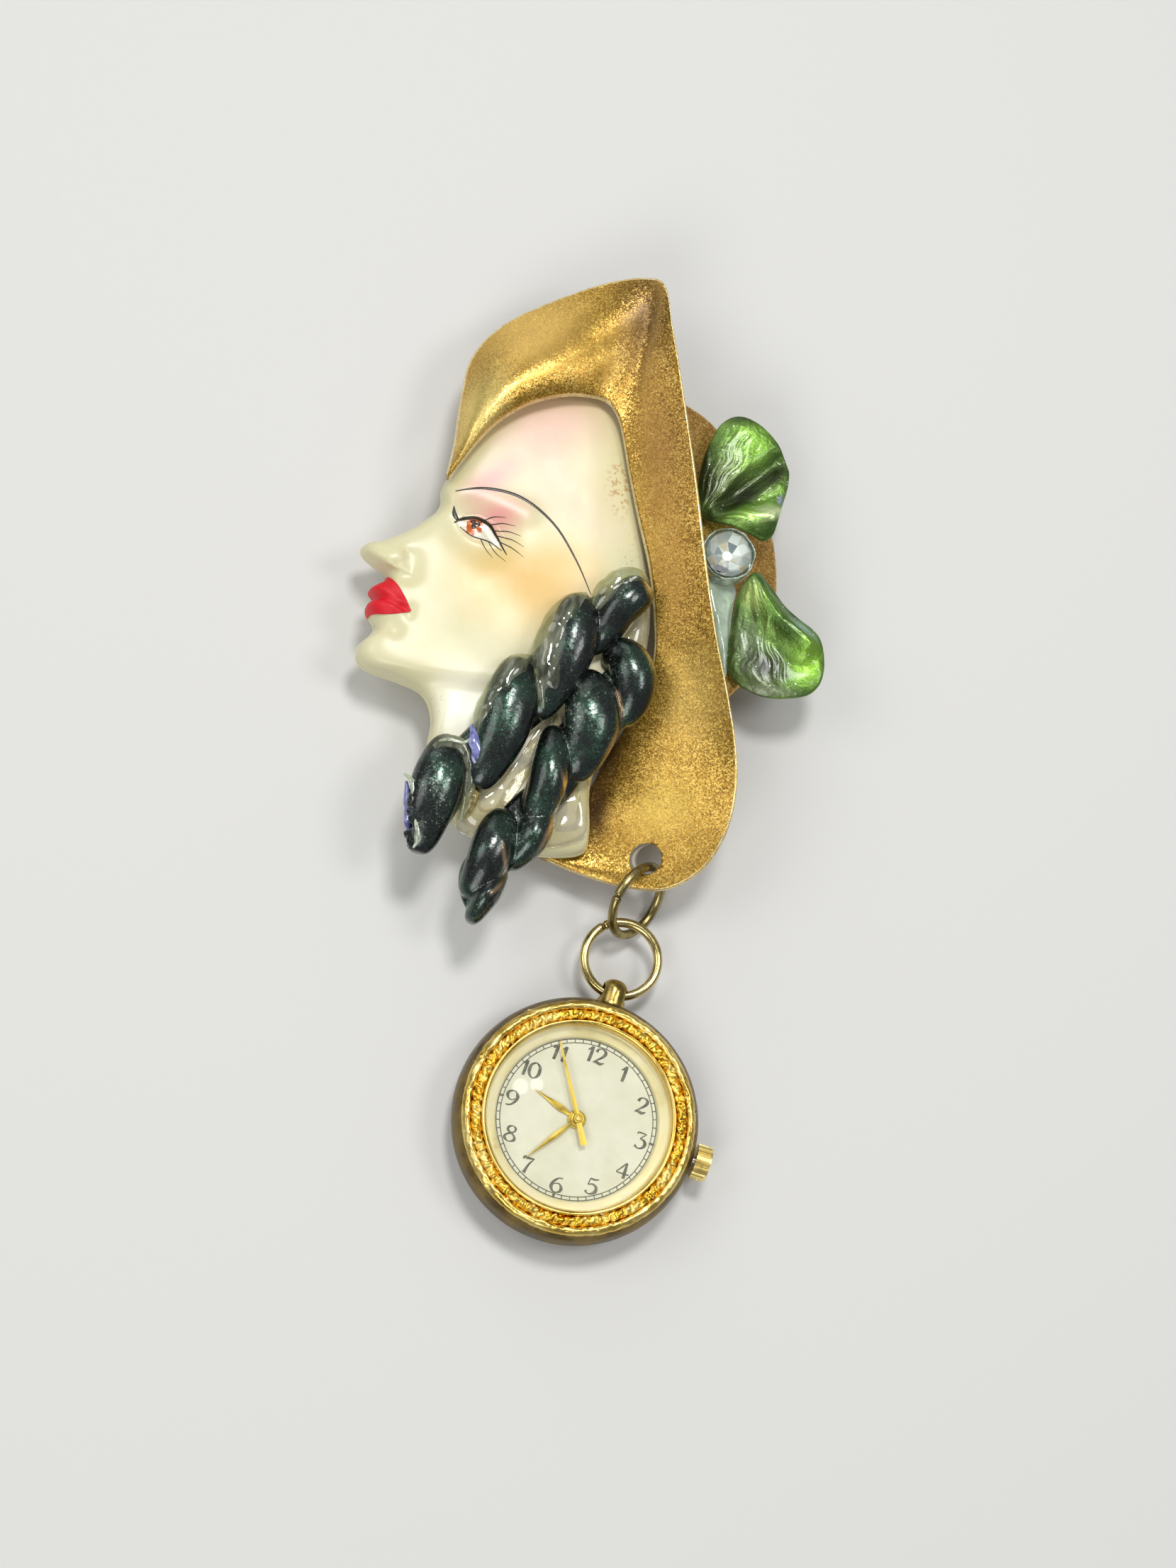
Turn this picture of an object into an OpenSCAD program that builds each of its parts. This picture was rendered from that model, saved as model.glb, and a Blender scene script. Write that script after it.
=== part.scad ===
// Lady's head brooch in a wide hat, with a small pendant watch hanging from its brim by two rings.
// The whole thing lies on its back. X runs to the right, Y to the top of the hat, Z up from the table.

/* [Face and neck] */
// One third of the face, from hairline to brow, brow to nose base or nose base to chin
face_third = 11.8; // [10.8:0.1:12]
// How far the head leans back
head_tilt = 24; // [18:1:26]
// Height of the plate's flat back above the table
plate_back = 5.5; // [5.2:0.1:5.8]
// Thickness of the plate's rounded rim
plate_rim = 0.8; // [0.5:0.1:1.2]
// How far the head stands above the rim
head_relief = 3.2; // [2.6:0.1:3.4]
// How far the neck stands above the rim
neck_relief = 2.3; // [1.8:0.1:2.5]

/* [Hat] */
// Thickness of the brim along its middle
brim_wall = 1.8; // [1.4:0.1:1.9]
// Thickness of the crown behind the brim
crown_wall = 1.4; // [1:0.1:1.8]
// Radius of the hole for the jump ring
brim_hole_r = 1.8; // [1.5:0.05:1.9]

/* [Hair] */
// Radius of each strand of a twist
strand_r = 2.45; // [2.2:0.05:2.6]
// How far each of a twist's two strands lies from its middle line
strand_offset = [1.15, 0.95]; // [0.8:0.05:1.3]
// Height of a twist as a share of its width
twist_flatness = 0.58; // [0.5:0.01:0.62]

/* [Bow] */
// Thickness of the petals
petal_wall = 1.1; // [0.8:0.1:1.2]
// Widest radius of the stone
stone_r = 2.75; // [2.4:0.05:2.8]

/* [Rings] */
// Radius of the jump ring, to the middle of its wire
jump_ring_r = 4.3; // [4.25:0.01:4.35]
// Radius of the watch's ring, to the middle of its wire
bail_ring_r = 4.3; // [4.25:0.01:4.35]
// Radius of both rings' wire
ring_wire_r = 0.54; // [0.45:0.01:0.56]

/* [Watch] */
// Widest radius of the case
case_r = 14.1; // [13.8:0.1:14.2]
// Height of the case, back to rim
case_h = 7.2; // [7.2:0.1:7.8]
// Radius of the crystal
crystal_r = 10.5; // [10.2:0.1:10.5]
// Radius of the winding crown
winder_r = 2.05; // [1.8:0.05:2.2]
// Flutes round the winding crown
winder_flutes = 26; // [18:2:30]
// Hour shown, 0 to 12
shown_hour = 9; // [0:1:11]
// Minute shown
shown_minute = 35.92; // [0:0.01:59.99]
// Second shown
shown_second = 55; // [0:1:59]

/* [Hidden] */

ivory = "#e9e3c6";
gold_paint = "#a8772a";
dark_hair = "#1f2a27";
leaf_green = "#4c8a2c";
glue_clear = "#b9c6bb";
gilt = "#d9b24a";
gap = 0.1;

// Curves and points

function lerp(a, b, t) = a + (b - a) * t;
function turned(p, angle) = [p.x * cos(angle) - p.y * sin(angle), p.x * sin(angle) + p.y * cos(angle)];
function ramp(from, to, v) = let (t = min(1, max(0, (v - from) / (to - from)))) t * t * (3 - 2 * t);
function bell(d, width) = exp(-pow(d / width, 2));
// Distance from p to the stretch from a to b
function to_stretch(p, a, b) =
    let (t = min(1, max(0, ((p - a) * (b - a)) / ((b - a) * (b - a))))) norm(p - lerp(a, b, t));
// A point at share t of the way from b to c, on the smooth curve through a, b, c and d
function curve_at(a, b, c, d, t) =
    0.5 * (2 * b + (c - a) * t + (2 * a - 5 * b + 4 * c - d) * t * t + (3 * b - a - 3 * c + d) * t * t * t);
function smooth_loop(rows, steps) =
    let (n = len(rows))
    [for (i = [0:n - 1], k = [0:steps - 1])
        curve_at(rows[(i + n - 1) % n], rows[i], rows[(i + 1) % n], rows[(i + 2) % n], k / steps)];
function smooth_run(rows, steps) =
    let (last = len(rows) - 1)
    [for (i = [0:last - 1], k = [0:steps - 1])
        curve_at(rows[max(0, i - 1)], rows[i], rows[i + 1], rows[min(last, i + 2)], k / steps), rows[last]];

// Solids from points

// A solid over a closed outline, in loops that close in on a hub. top and bottom give heights at a point
// and at its share of the way from the hub to the outline.
module shaped_plate(outline, hub, shares, under_shares, top, bottom) {
    n = len(outline);
    side = n * len(shares) + 1;
    function level(list, heights) =
        [for (s = list, p = outline) let (q = lerp(hub, p, s)) [q.x, q.y, heights(q, s)],
         [hub.x, hub.y, heights(hub, 0)]];
    function skin(first, loops, flip) =
        [if (loops > 1) for (r = [0:loops - 2], i = [0:n - 1])
            let (a = first + r * n + i, b = first + r * n + (i + 1) % n, c = b + n, d = a + n)
            each flip ? [[a, b, c], [a, c, d]] : [[a, c, b], [a, d, c]],
         for (i = [0:n - 1])
            let (a = first + (loops - 1) * n + i, b = first + (loops - 1) * n + (i + 1) % n, h = first + n * loops)
            flip ? [a, b, h] : [a, h, b]];
    wall = [for (i = [0:n - 1]) let (j = (i + 1) % n) each [[i, j, side + j], [i, side + j, side + i]]];
    polyhedron(
        concat(level(shares, top), level(under_shares, bottom)),
        concat(skin(0, len(shares), false), skin(side, len(under_shares), true), wall));
}

// A solid through closed sections of equally many points, each end closed by strips across its section
module lofted(sections) {
    n = len(sections[0]);
    last = len(sections) - 1;
    function strips(first, flip) =
        [for (k = [0:n / 2 - 2])
            let (a = first + k, b = a + 1, c = first + n - 2 - k, d = c + 1)
            each flip ? [[c, b, a], [d, c, a]] : [[a, b, c], [a, c, d]]];
    polyhedron(
        [for (s = sections) each s],
        concat(
            strips(0, false),
            [for (r = [0:last - 1], i = [0:n - 1])
                let (a = r * n + i, b = r * n + (i + 1) % n) each [[a, a + n, b], [b, a + n, b + n]]],
            strips(last * n, true)));
}

// Face and neck

face_up = [sin(head_tilt), cos(head_tilt)];
face_ahead = [-cos(head_tilt), sin(head_tilt)];
brow_point = [-17.6, 31];
chin_level = brow_point - 2 * face_third * face_up;
function on_face(ahead, up) = chin_level + face_third * (ahead * face_ahead + up * face_up);

// Profile from brow to throat, in thirds of the face: [ahead of the brow, above the chin]
face_profile = [
    [0, 2.02], [-0.06, 1.84], [0.01, 1.66], [0.15, 1.44], [0.33, 1.24], [0.45, 1.14], [0.43, 1.05],
    [0.3, 1], [0.14, 0.97], [0.11, 0.88], [0.17, 0.8], [0.2, 0.73], [0.11, 0.665], [0.16, 0.6],
    [0.13, 0.52], [0.01, 0.42], [0.03, 0.3], [0.07, 0.19], [0.03, 0.06], [-0.12, 0],
    [-0.42, 0.03], [-0.7, 0.02]];
// Neck, then the edge that lies under the hat: [x, y]
neck_and_back = [
    [-18.5, 3.4], [-19, -1], [-17.7, -5.4], [-15.8, -8.6], [-13.6, -10.2], [-10.4, -11.2],
    [-5.9, -12.2], [-1.2, -11.9], [-0.1, -9.8], [0, -4.2], [1.4, 0], [3.6, 3.8], [5.7, 8.2],
    [6.8, 13], [7.3, 18], [6.9, 24], [6.1, 30], [5.2, 36], [4.2, 40.5], [1.8, 43.4], [-2.5, 44.6],
    [-7.5, 43.4], [-11.6, 40.4], [-14.4, 36.6], [-16.3, 33.4]];
face_hub = [-8, 15];
// Raised and sunken forms of the head, in thirds of the face: [from ahead, up, to ahead, up, width, height]
face_forms = [
    [-0.85, 1.2, -1.15, 1.05, 0.5, 0.6],
    [-0.42, 1.74, -0.62, 1.72, 0.24, -0.85],
    [-0.46, 1.71, -0.56, 1.7, 0.13, 0.55],
    [-0.2, 1.98, -0.85, 2.06, 0.14, 0.25],
    [0.1, 1.1, 0.16, 1.06, 0.12, 0.35],
    [-0.04, 1.17, -0.1, 1, 0.09, -0.3],
    [0.16, 0.74, -0.1, 0.69, 0.06, 0.3],
    [0.12, 0.58, -0.06, 0.62, 0.07, 0.3],
    [0.1, 0.665, -0.2, 0.66, 0.035, -0.3],
    [0.02, 0.42, -0.2, 0.42, 0.08, -0.25]];
jaw_front = on_face(-0.25, 0.04);
jaw_back = on_face(-2.3, 0.75);
plate_shares = [1, 0.985, 0.96, 0.925, 0.88, 0.82, 0.76, 0.69, 0.62, 0.54, 0.45, 0.32, 0.16];

function above_jaw(p) =
    let (along = jaw_back - jaw_front, off = p - jaw_front)
    ramp(-1.4, 0.6, (along.x * off.y - along.y * off.x) / norm(along));
function face_form(p, row) =
    row[5] * bell(to_stretch(p, on_face(row[0], row[1]), on_face(row[2], row[3])), row[4] * face_third);
function sum_forms(p, i = 0) = i == len(face_forms) ? 0 : face_form(p, face_forms[i]) + sum_forms(p, i + 1);
function plate_front(p, share) =
    plate_back + plate_rim
    + (lerp(neck_relief, head_relief, above_jaw(p)) * (1 - 0.25 * ramp(-1, 7, p.x)) + sum_forms(p))
    * sqrt(1 - pow(share, 12));

module face_and_neck() {
    color(ivory)
        shaped_plate(
            smooth_loop(concat([for (q = face_profile) on_face(q[0], q[1])], neck_and_back), 2),
            face_hub, plate_shares, [1], function(p, s) plate_front(p, s), function(p, s) plate_back);
}

// Hat

// Sections of the brim from the forehead, over the top, down the back and under the neck:
// [inner x, inner y, inner z, outer x, outer y, outer z, crest height, crest's place from inner edge]
brim_sections = [
    [-17.1, 31.2, 9.8, -17.4, 31.9, 9.7, 0, 0.4],
    [-15.5, 33.3, 10.8, -16.5, 35.8, 9.4, 0.5, 0.36],
    [-13.6, 35.7, 11.1, -15.8, 40.8, 8.9, 1.4, 0.34],
    [-11.1, 38.2, 11.2, -14.4, 46.6, 8.7, 1.9, 0.32],
    [-7.9, 40.2, 11.2, -10.7, 50.8, 8.9, 2.1, 0.32],
    [-4.3, 41.4, 11.2, -4.9, 53.8, 9.6, 1.8, 0.33],
    [-1.2, 41.7, 11, 1, 55.8, 11, 1, 0.36],
    [1.2, 41.3, 10.7, 5.8, 56.28, 12.4, 0, 0.45],
    [2.5, 39.8, 10.5, 7.9, 55, 13.2, -0.6, 0.5],
    [3.2, 37.6, 10.3, 8.7, 49.8, 13.6, -0.8, 0.52],
    [4, 32.9, 10.1, 10, 41.2, 13.7, -0.8, 0.52],
    [5.1, 27.3, 10, 11.5, 30.8, 13.5, -0.7, 0.52],
    [6.3, 21.8, 9.9, 12.7, 20.5, 13.2, -0.7, 0.52],
    [7, 16.4, 9.4, 13.9, 12.3, 12.8, -0.7, 0.52],
    [7.1, 11.2, 8.4, 15.2, 6, 12.2, -0.8, 0.52],
    [5.6, 5.9, 6.6, 16.2, -0.2, 11.6, -0.9, 0.52],
    [2.4, 0.4, 4.3, 16.2, -5.5, 11, -0.6, 0.5],
    [0.2, -4.1, 3.9, 15.1, -10, 10.2, -0.4, 0.5],
    [-0.6, -7, 3.7, 12.7, -13.7, 8.8, -0.3, 0.5],
    [-1.6, -9, 3.7, 8.9, -15.8, 7, -0.2, 0.5],
    [-3, -10.2, 3.8, 4.5, -15.4, 5.4, 0, 0.5],
    [-4.8, -10.6, 3.9, -0.4, -14, 4.5, 0, 0.5],
    [-6.4, -11, 3.9, -4.6, -12.3, 4.1, 0, 0.5]];
brim_steps_along = 3;
brim_steps_across = 8;
brim_edge_share = 0.6;
hole_at = [6.9, -12.1, 6.3];
hole_lean = [10, -38, 0];

function brim_height(row, t) =
    lerp(row[2], row[5], t) + row[6] * sin(180 * pow(t, ln(0.5) / ln(row[7])));
// A section through the brim: along its upper side and back along its lower one
function brim_loop(row) =
    let (point = function(t, side)
        [lerp(row[0], row[3], t), lerp(row[1], row[4], t),
         brim_height(row, t) + side * brim_wall / 2 * lerp(brim_edge_share, 1, sin(180 * t))])
    concat([for (k = [0:brim_steps_across]) point(k / brim_steps_across, 1)],
           [for (k = [brim_steps_across:-1:0]) point(k / brim_steps_across, -1)]);

module hat_brim() {
    color(gold_paint) difference() {
        lofted([for (row = smooth_run(brim_sections, brim_steps_along)) brim_loop(row)]);
        translate(hole_at) rotate(hole_lean) cylinder(r = brim_hole_r, h = 8, center = true, $fn = 48);
    }
}

// Crown outline, counterclockwise from its edge under the brim: [x, y]
crown_outline = [
    [5.8, 40], [7.5, 30], [9.2, 20], [10.6, 12], [14.2, 6.6], [17.6, 8.6], [20.3, 12.4], [22.2, 17],
    [22.9, 22], [22.7, 27], [21.4, 32], [19.2, 36.2], [16.6, 39.4], [13.4, 42], [9, 43.2]];
crown_hub = [15, 25];
crown_height = 9.3;
crown_slope = 0.32;
crown_bend = 0.006;
crown_dip = 0.1;
// Height of the crown: it falls away from its edge under the brim, and a little more towards the neck
function crown_top(p) =
    let (out = p.x - 9.2 + 0.17 * (p.y - 20))
    crown_height - crown_slope * out - crown_bend * out * out - crown_dip * max(0, 17 - p.y);

module hat_crown() {
    color(gold_paint)
        shaped_plate(smooth_loop(crown_outline, 2), crown_hub, [1, 0.8, 0.55, 0.3], [1, 0.8, 0.55, 0.3],
                     function(p, s) crown_top(p), function(p, s) crown_top(p) - crown_wall);
}

// Bow

upper_outline = [
    [12.5, 29.6], [12.4, 31.8], [12.9, 34.8], [13.9, 37.6], [15.2, 39.9], [16.9, 41], [18.8, 40.7],
    [20.8, 39.3], [22.4, 37.3], [23.3, 35], [23.2, 32.6], [22.4, 30], [21.7, 28], [21.2, 26.4],
    [20.2, 25.8], [18.6, 26.4], [16.8, 27.1], [14.8, 27.6], [13.2, 28.3]];
upper_hub = [17.6, 32.6];
upper_crease = [[14.4, 29], [22, 35.6]];
upper_ridge = [[14.4, 28.1], [21.2, 28.3]];
function upper_top(p) =
    9.1 + 0.07 * (p.x - 13)
    - 1.2 * bell(to_stretch(p, upper_crease[0], upper_crease[1]), 1.2) * ramp(13.5, 17, p.x)
    + 1.4 * bell(to_stretch(p, upper_ridge[0], upper_ridge[1]), 1.5) * ramp(12.5, 16, p.x);

lower_outline = [
    [18.7, 21.7], [17.5, 20.1], [16.9, 18], [16.5, 15.4], [16.1, 12.8], [16, 11], [16.7, 9.2],
    [18.4, 7.9], [20.4, 7.1], [22.8, 7], [25.2, 7.4], [26.6, 8.6], [27.2, 10.4], [27.2, 12.2],
    [26.7, 13.9], [25.8, 15.2], [24.4, 16.3], [23, 17.7], [21.7, 19.4], [20.6, 20.8], [19.8, 21.8]];
lower_hub = [21, 12.5];
lower_ridge = [[18.9, 21.2], [21, 17], [25, 13.4]];
function lower_top(p) =
    8.1 + 0.15 * (p.x - 16)
    + 1.5 * bell(min(to_stretch(p, lower_ridge[0], lower_ridge[1]), to_stretch(p, lower_ridge[1], lower_ridge[2])), 1.5);

strip_outline = [
    [13.6, 20.2], [13.9, 17], [14.5, 14.4], [15.2, 11.6], [15.7, 10.6], [15.9, 12.2], [16.1, 15], [16.4, 17.6], [16.6, 20]];
strip_hub = [15.2, 16.5];
strip_lift = 0.15;
strip_rise = 0.75;

petal_shares = [1, 0.9, 0.78, 0.65, 0.5, 0.34, 0.17];
petal_under_shares = [1, 0.78, 0.5, 0.17];
petal_edge_roll = 0.35;

module petal(outline, hub, top) {
    color(leaf_green)
        shaped_plate(smooth_loop(outline, 2), hub, petal_shares, petal_under_shares,
                     function(p, s) top(p) - petal_edge_roll * pow(s, 8),
                     function(p, s) top(p) - petal_wall);
}
module upper_petal() petal(upper_outline, upper_hub, function(p) upper_top(p));
module lower_petal() petal(lower_outline, lower_hub, function(p) lower_top(p));
module glue_strip() {
    color(glue_clear)
        shaped_plate(smooth_loop(strip_outline, 2), strip_hub, [1, 0.75, 0.4], [1, 0.4],
                     function(p, s) crown_top(p) + strip_lift + strip_rise * (1 - 0.7 * pow(s, 4)),
                     function(p, s) crown_top(p) + strip_lift);
}

stone_at = [15.8, 23.7];
seat_bottom = 8.3;
seat_floor = 0.8;
seat_wall = 0.4;
seat_top = 10.5;
stone_bottom = seat_bottom + seat_floor + gap;
girdle_z = stone_bottom + 1;
table_z = girdle_z + 1.25;

module glue_seat() {
    inner_r = stone_r + gap;
    color(glue_clear) translate(stone_at) rotate_extrude($fn = 64) polygon([
        [0, seat_bottom], [inner_r + seat_wall, seat_bottom], [inner_r + seat_wall, seat_top - 0.8],
        [inner_r + 0.15, seat_top], [inner_r, seat_top], [inner_r, stone_bottom - gap], [0, stone_bottom - gap]]);
}

// Brilliant cut on a flat back: eight-sided table, sixteen-sided girdle
module rhinestone() {
    color("white") translate(stone_at) hull() {
        translate([0, 0, table_z - 0.02]) cylinder(r = stone_r * 0.58, h = 0.02, $fn = 8);
        translate([0, 0, girdle_z]) rotate(11.25) cylinder(r = stone_r, h = 0.15, $fn = 16);
        translate([0, 0, stone_bottom]) cylinder(r = stone_r * 0.6, h = 0.1, $fn = 8);
    }
}

// Hair

// Middle line of each twist: [x, y, z, size, turn of its first strand]
front_line = [
    [5.4, 19.2, 12.4, 0.4, 20], [3.1, 17.1, 12.5, 0.8, 90], [0.5, 14.6, 12.5, 0.86, 180], [-2.6, 11.7, 12.4, 0.98, 270],
    [-6, 7.4, 12, 0.9, 355], [-9.9, 2.8, 11.4, 1, 445], [-13.8, -1.8, 10.9, 0.92, 535],
    [-17.3, -5.8, 10.8, 1, 630], [-20, -9.4, 10.7, 0.86, 690]];
back_line = [
    [3.2, 12.2, 10.8, 0.3, 30], [3.5, 9.1, 11.3, 0.86, 90], [2.1, 5.5, 11.2, 0.86, 180], [-0.5, 2.5, 11.1, 0.96, 270],
    [-3, -1, 10.9, 0.84, 355], [-6.2, -6.2, 10.8, 0.94, 450], [-9.4, -10.2, 10.6, 0.8, 540],
    [-12, -13.5, 10.4, 0.98, 625], [-13.4, -16.6, 10.1, 0.66, 690], [-13.9, -19.4, 9.7, 0.18, 730]];
twist_steps = 5;
twist_sides = 20;

// Two strands pressed together, seen end on: distance from the middle line at an angle
function strands(angle) =
    let (offset = strand_offset[cos(angle) > 0 ? 0 : 1])
    offset * abs(cos(angle)) + sqrt(strand_r * strand_r - pow(offset * sin(angle), 2));
function twist_sections(line) =
    let (rows = smooth_run(line, twist_steps), last = len(rows) - 1)
    [for (i = [0:last])
        let (row = rows[i], ahead = rows[min(last, i + 1)] - rows[max(0, i - 1)],
             away = [-ahead.y, ahead.x] / norm([ahead.x, ahead.y]))
        [for (k = [twist_sides - 1:-1:0])
            let (angle = 360 * k / twist_sides, r = row[3] * strands(angle),
                 across = -r * cos(angle + row[4]), rise = r * sin(angle + row[4]) * twist_flatness)
            [row.x + across * away.x, row.y + across * away.y, row.z + rise]]];

module twist(line) {
    color(dark_hair) lofted(twist_sections(line));
}
module front_twist() twist(front_line);
module back_twist() twist(back_line);

// Pin at the back: a bar with two feet and the pin between them

pin_middle = [-5, 25];
pin_length = 24;
pin_bar_w = 4.6;
pin_bar_h = 0.9;
pin_wire_r = 0.45;
pin_wire_z = 1.1;
pin_foot = [3, 3.4];

module pin_back() {
    bar_top = plate_back - gap;
    foot_x = (pin_length - pin_foot.x) / 2;
    color("silver") translate(pin_middle) {
        translate([-pin_length / 2, -pin_bar_w / 2, bar_top - pin_bar_h]) cube([pin_length, pin_bar_w, pin_bar_h]);
        for (side = [-1, 1])
            translate([side * foot_x - pin_foot.x / 2, -pin_foot.y / 2, 0])
                cube([pin_foot.x, pin_foot.y, bar_top - pin_bar_h / 2]);
        translate([-foot_x, 0, pin_wire_z]) rotate([0, 90, 0]) cylinder(r = pin_wire_r, h = 2 * foot_x, $fn = 32);
    }
}

// Rings

jump_ring_at = [5.78, -16.69, 4.52];
jump_ring_lean = [0, 57.5, -37];
bail_ring_at = [4.1, -23.37];
bail_ring_z = 3.4;

module wire_ring(r) {
    color(gilt) rotate_extrude($fn = 96) translate([r, 0]) circle(r = ring_wire_r, $fn = 32);
}
module jump_ring() translate(jump_ring_at) rotate(jump_ring_lean) wire_ring(jump_ring_r);
module bail_ring() translate([bail_ring_at.x, bail_ring_at.y, bail_ring_z]) wire_ring(bail_ring_r);

// Watch, drawn with its middle at the origin and twelve o'clock towards +Y

watch_at = [-1.3, -42.2];
watch_turn = -17;
knob_r = 1.6;
knob_hole_r = 1.02;
knob_hole_at = 15.4;
knob_top = 17.1;
back_r = 11;
back_h = 0.8;
cavity_r = 10.3;
dial_top = 4.9;
dial_r = 10.2;
dial_h = 0.3;
crystal_seat = 6.3;
crystal_h = 0.7;
reveal_r = 9.45;
groove_in = 11.15;
groove_out = 12.65;
groove_floor = 6;
rope_r = 0.6;
winder_z = 3.4;
winder_from = 14.35;
winder_to = 16.1;
stem_r = 0.5;
stem_from = 10;
stem_to = 15.3;
stem_play = 0.05;

module on_watch() translate(watch_at) rotate(watch_turn) children();

module case_profile() {
    polygon([
        [back_r + gap, 0], [back_r + 0.9, 0.05], [case_r - 1.2, 0.7], [case_r - 0.35, 1.8], [case_r, 3.2],
        [case_r - 0.05, 4.8], [case_r - 0.35, 6.1], [case_r - 0.75, case_h - 0.35], [case_r - 1.15, case_h],
        [groove_out, case_h - 0.15], [groove_out, groove_floor], [groove_in, groove_floor],
        [groove_in, case_h - 0.1], [groove_in - 0.2, case_h + 0.05], [crystal_r + 2 * stem_play, case_h - 0.05],
        [crystal_r + 2 * stem_play, crystal_seat - gap], [crystal_r - 0.45, crystal_seat - gap],
        [reveal_r, dial_top + gap], [cavity_r, dial_top + gap], [cavity_r, back_h + gap],
        [back_r + gap, back_h + gap]]);
}

module watch_case() {
    color(gilt) on_watch() difference() {
        union() {
            rotate(135) rotate_extrude($fn = 128) case_profile();
            translate([0, 0, winder_z]) rotate([-90, 0, 0]) rotate_extrude($fn = 64)
                polygon([[0, case_r - 0.6], [knob_r, case_r - 0.6], [knob_r, knob_top - 1.3], [knob_r * 0.8, knob_top - 0.5],
                         [knob_r * 0.35, knob_top], [0, knob_top]]);
        }
        translate([0, knob_hole_at, winder_z]) rotate([0, 90, 0])
            cylinder(r = knob_hole_r, h = 4 * knob_r, center = true, $fn = 48);
        translate([cavity_r - 1, 0, winder_z]) rotate([0, 90, 0])
            cylinder(r = stem_r + stem_play, h = case_r, $fn = 32);
    }
}

module case_back() {
    color("silver") on_watch() cylinder(r = back_r, h = back_h, $fn = 128);
}

// The works in one plain block, with the stepped post that carries the hands
hour_post_r = 0.6;
minute_post_r = 0.42;
second_post_r = 0.24;
hand_h = 0.16;
hour_z = dial_top + 0.2;
minute_z = hour_z + 0.42;
second_z = minute_z + 0.36;
hub_play = 0.04;
movement_r = 9.9;

module movement() {
    color("silver") on_watch() {
        translate([0, 0, back_h + gap]) cylinder(r = movement_r, h = dial_top - dial_h - back_h - 2 * gap, $fn = 96);
        translate([0, 0, dial_top - 1]) {
            cylinder(r = hour_post_r, h = minute_z - 0.06 - dial_top + 1, $fn = 48);
            cylinder(r = minute_post_r, h = second_z - 0.06 - dial_top + 1, $fn = 48);
            cylinder(r = second_post_r, h = second_z + 0.22 - dial_top + 1, $fn = 48);
        }
    }
}

module dial() {
    color("ivory") on_watch() translate([0, 0, dial_top - dial_h]) difference() {
        cylinder(r = dial_r, h = dial_h, $fn = 128);
        translate([0, 0, -1]) cylinder(r = hour_post_r + gap, h = 2, $fn = 48);
    }
}

module rope_trim() {
    color(gilt) on_watch() translate([0, 0, groove_floor + rope_r + gap]) rotate_extrude($fn = 96)
        translate([(groove_in + groove_out) / 2, 0]) circle(r = rope_r, $fn = 32);
}

module crystal() {
    color("white", 0.35) on_watch() translate([0, 0, crystal_seat]) cylinder(r = crystal_r, h = crystal_h, $fn = 128);
}

// Hands: a leaf from hub to tip, with a tail, [length, widest, tail, hub radius]
hour_hand_size = [5.9, 0.75, 0, 1.05];
minute_hand_size = [7.3, 0.62, 0, 0.85];
second_hand_size = [9, 0.3, 3.1, 0.55];

module leaf_hand(size, bore_r) {
    difference() {
        union() {
            linear_extrude(hand_h)
                polygon([[-0.14, 0], [-size[1] * 0.3, size[0] * 0.25], [-size[1] / 2, size[0] * 0.42],
                         [-0.16, size[0] * 0.68], [-0.05, size[0]], [0.05, size[0]], [0.16, size[0] * 0.68],
                         [size[1] / 2, size[0] * 0.42], [size[1] * 0.3, size[0] * 0.25], [0.14, 0]]);
            if (size[2] > 0) translate([-size[1] / 2, -size[2], 0]) cube([size[1], size[2], hand_h]);
            cylinder(r = size[3], h = hand_h, $fn = 48);
        }
        translate([0, 0, -1]) cylinder(r = bore_r, h = 2, $fn = 32);
    }
}
module hour_hand() {
    color(gilt) on_watch() translate([0, 0, hour_z]) rotate(-30 * (shown_hour + shown_minute / 60))
        leaf_hand(hour_hand_size, hour_post_r + hub_play);
}
module minute_hand() {
    color(gilt) on_watch() translate([0, 0, minute_z]) rotate(-6 * shown_minute)
        leaf_hand(minute_hand_size, minute_post_r + hub_play);
}
module second_hand() {
    color(gilt) on_watch() translate([0, 0, second_z]) rotate(-6 * shown_second)
        leaf_hand(second_hand_size, second_post_r + hub_play);
}

module winding_stem() {
    color("silver") on_watch() translate([stem_from, 0, winder_z]) rotate([0, 90, 0])
        cylinder(r = stem_r, h = stem_to - stem_from, $fn = 32);
}

module winding_crown() {
    tooth = 360 / winder_flutes;
    flute_depth = 0.16;
    rim = [for (k = [0:winder_flutes - 1], q = [[-0.3, 0], [0.05, 0], [0.2, -flute_depth], [0.5, -flute_depth]])
        let (a = (k + q[0]) * tooth) (winder_r + q[1]) * [cos(a), sin(a)]];
    color(gilt) on_watch() translate([winder_from, 0, winder_z]) rotate([0, 90, 0]) difference() {
        union() {
            linear_extrude(winder_to - winder_from - 0.2) polygon(rim);
            cylinder(r = winder_r - flute_depth, h = winder_to - winder_from, $fn = 64);
        }
        translate([0, 0, -1]) cylinder(r = stem_r + stem_play, h = stem_to - winder_from + gap + 1, $fn = 32);
    }
}

face_and_neck();
hat_brim();
hat_crown();
upper_petal();
lower_petal();
glue_seat();
glue_strip();
rhinestone();
front_twist();
back_twist();
pin_back();
jump_ring();
bail_ring();
watch_case();
case_back();
movement();
dial();
rope_trim();
crystal();
hour_hand();
minute_hand();
second_hand();
winding_stem();
winding_crown();
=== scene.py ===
# Lady's head brooch with a hanging pendant watch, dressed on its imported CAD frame.
# Sizes in the dictionaries are millimetres. X runs right, Y to the top of the hat, Z up from the table.
import bmesh
import bpy
import functools
import math
import numpy as np
from mathutils import Matrix, Vector, noise


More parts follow.
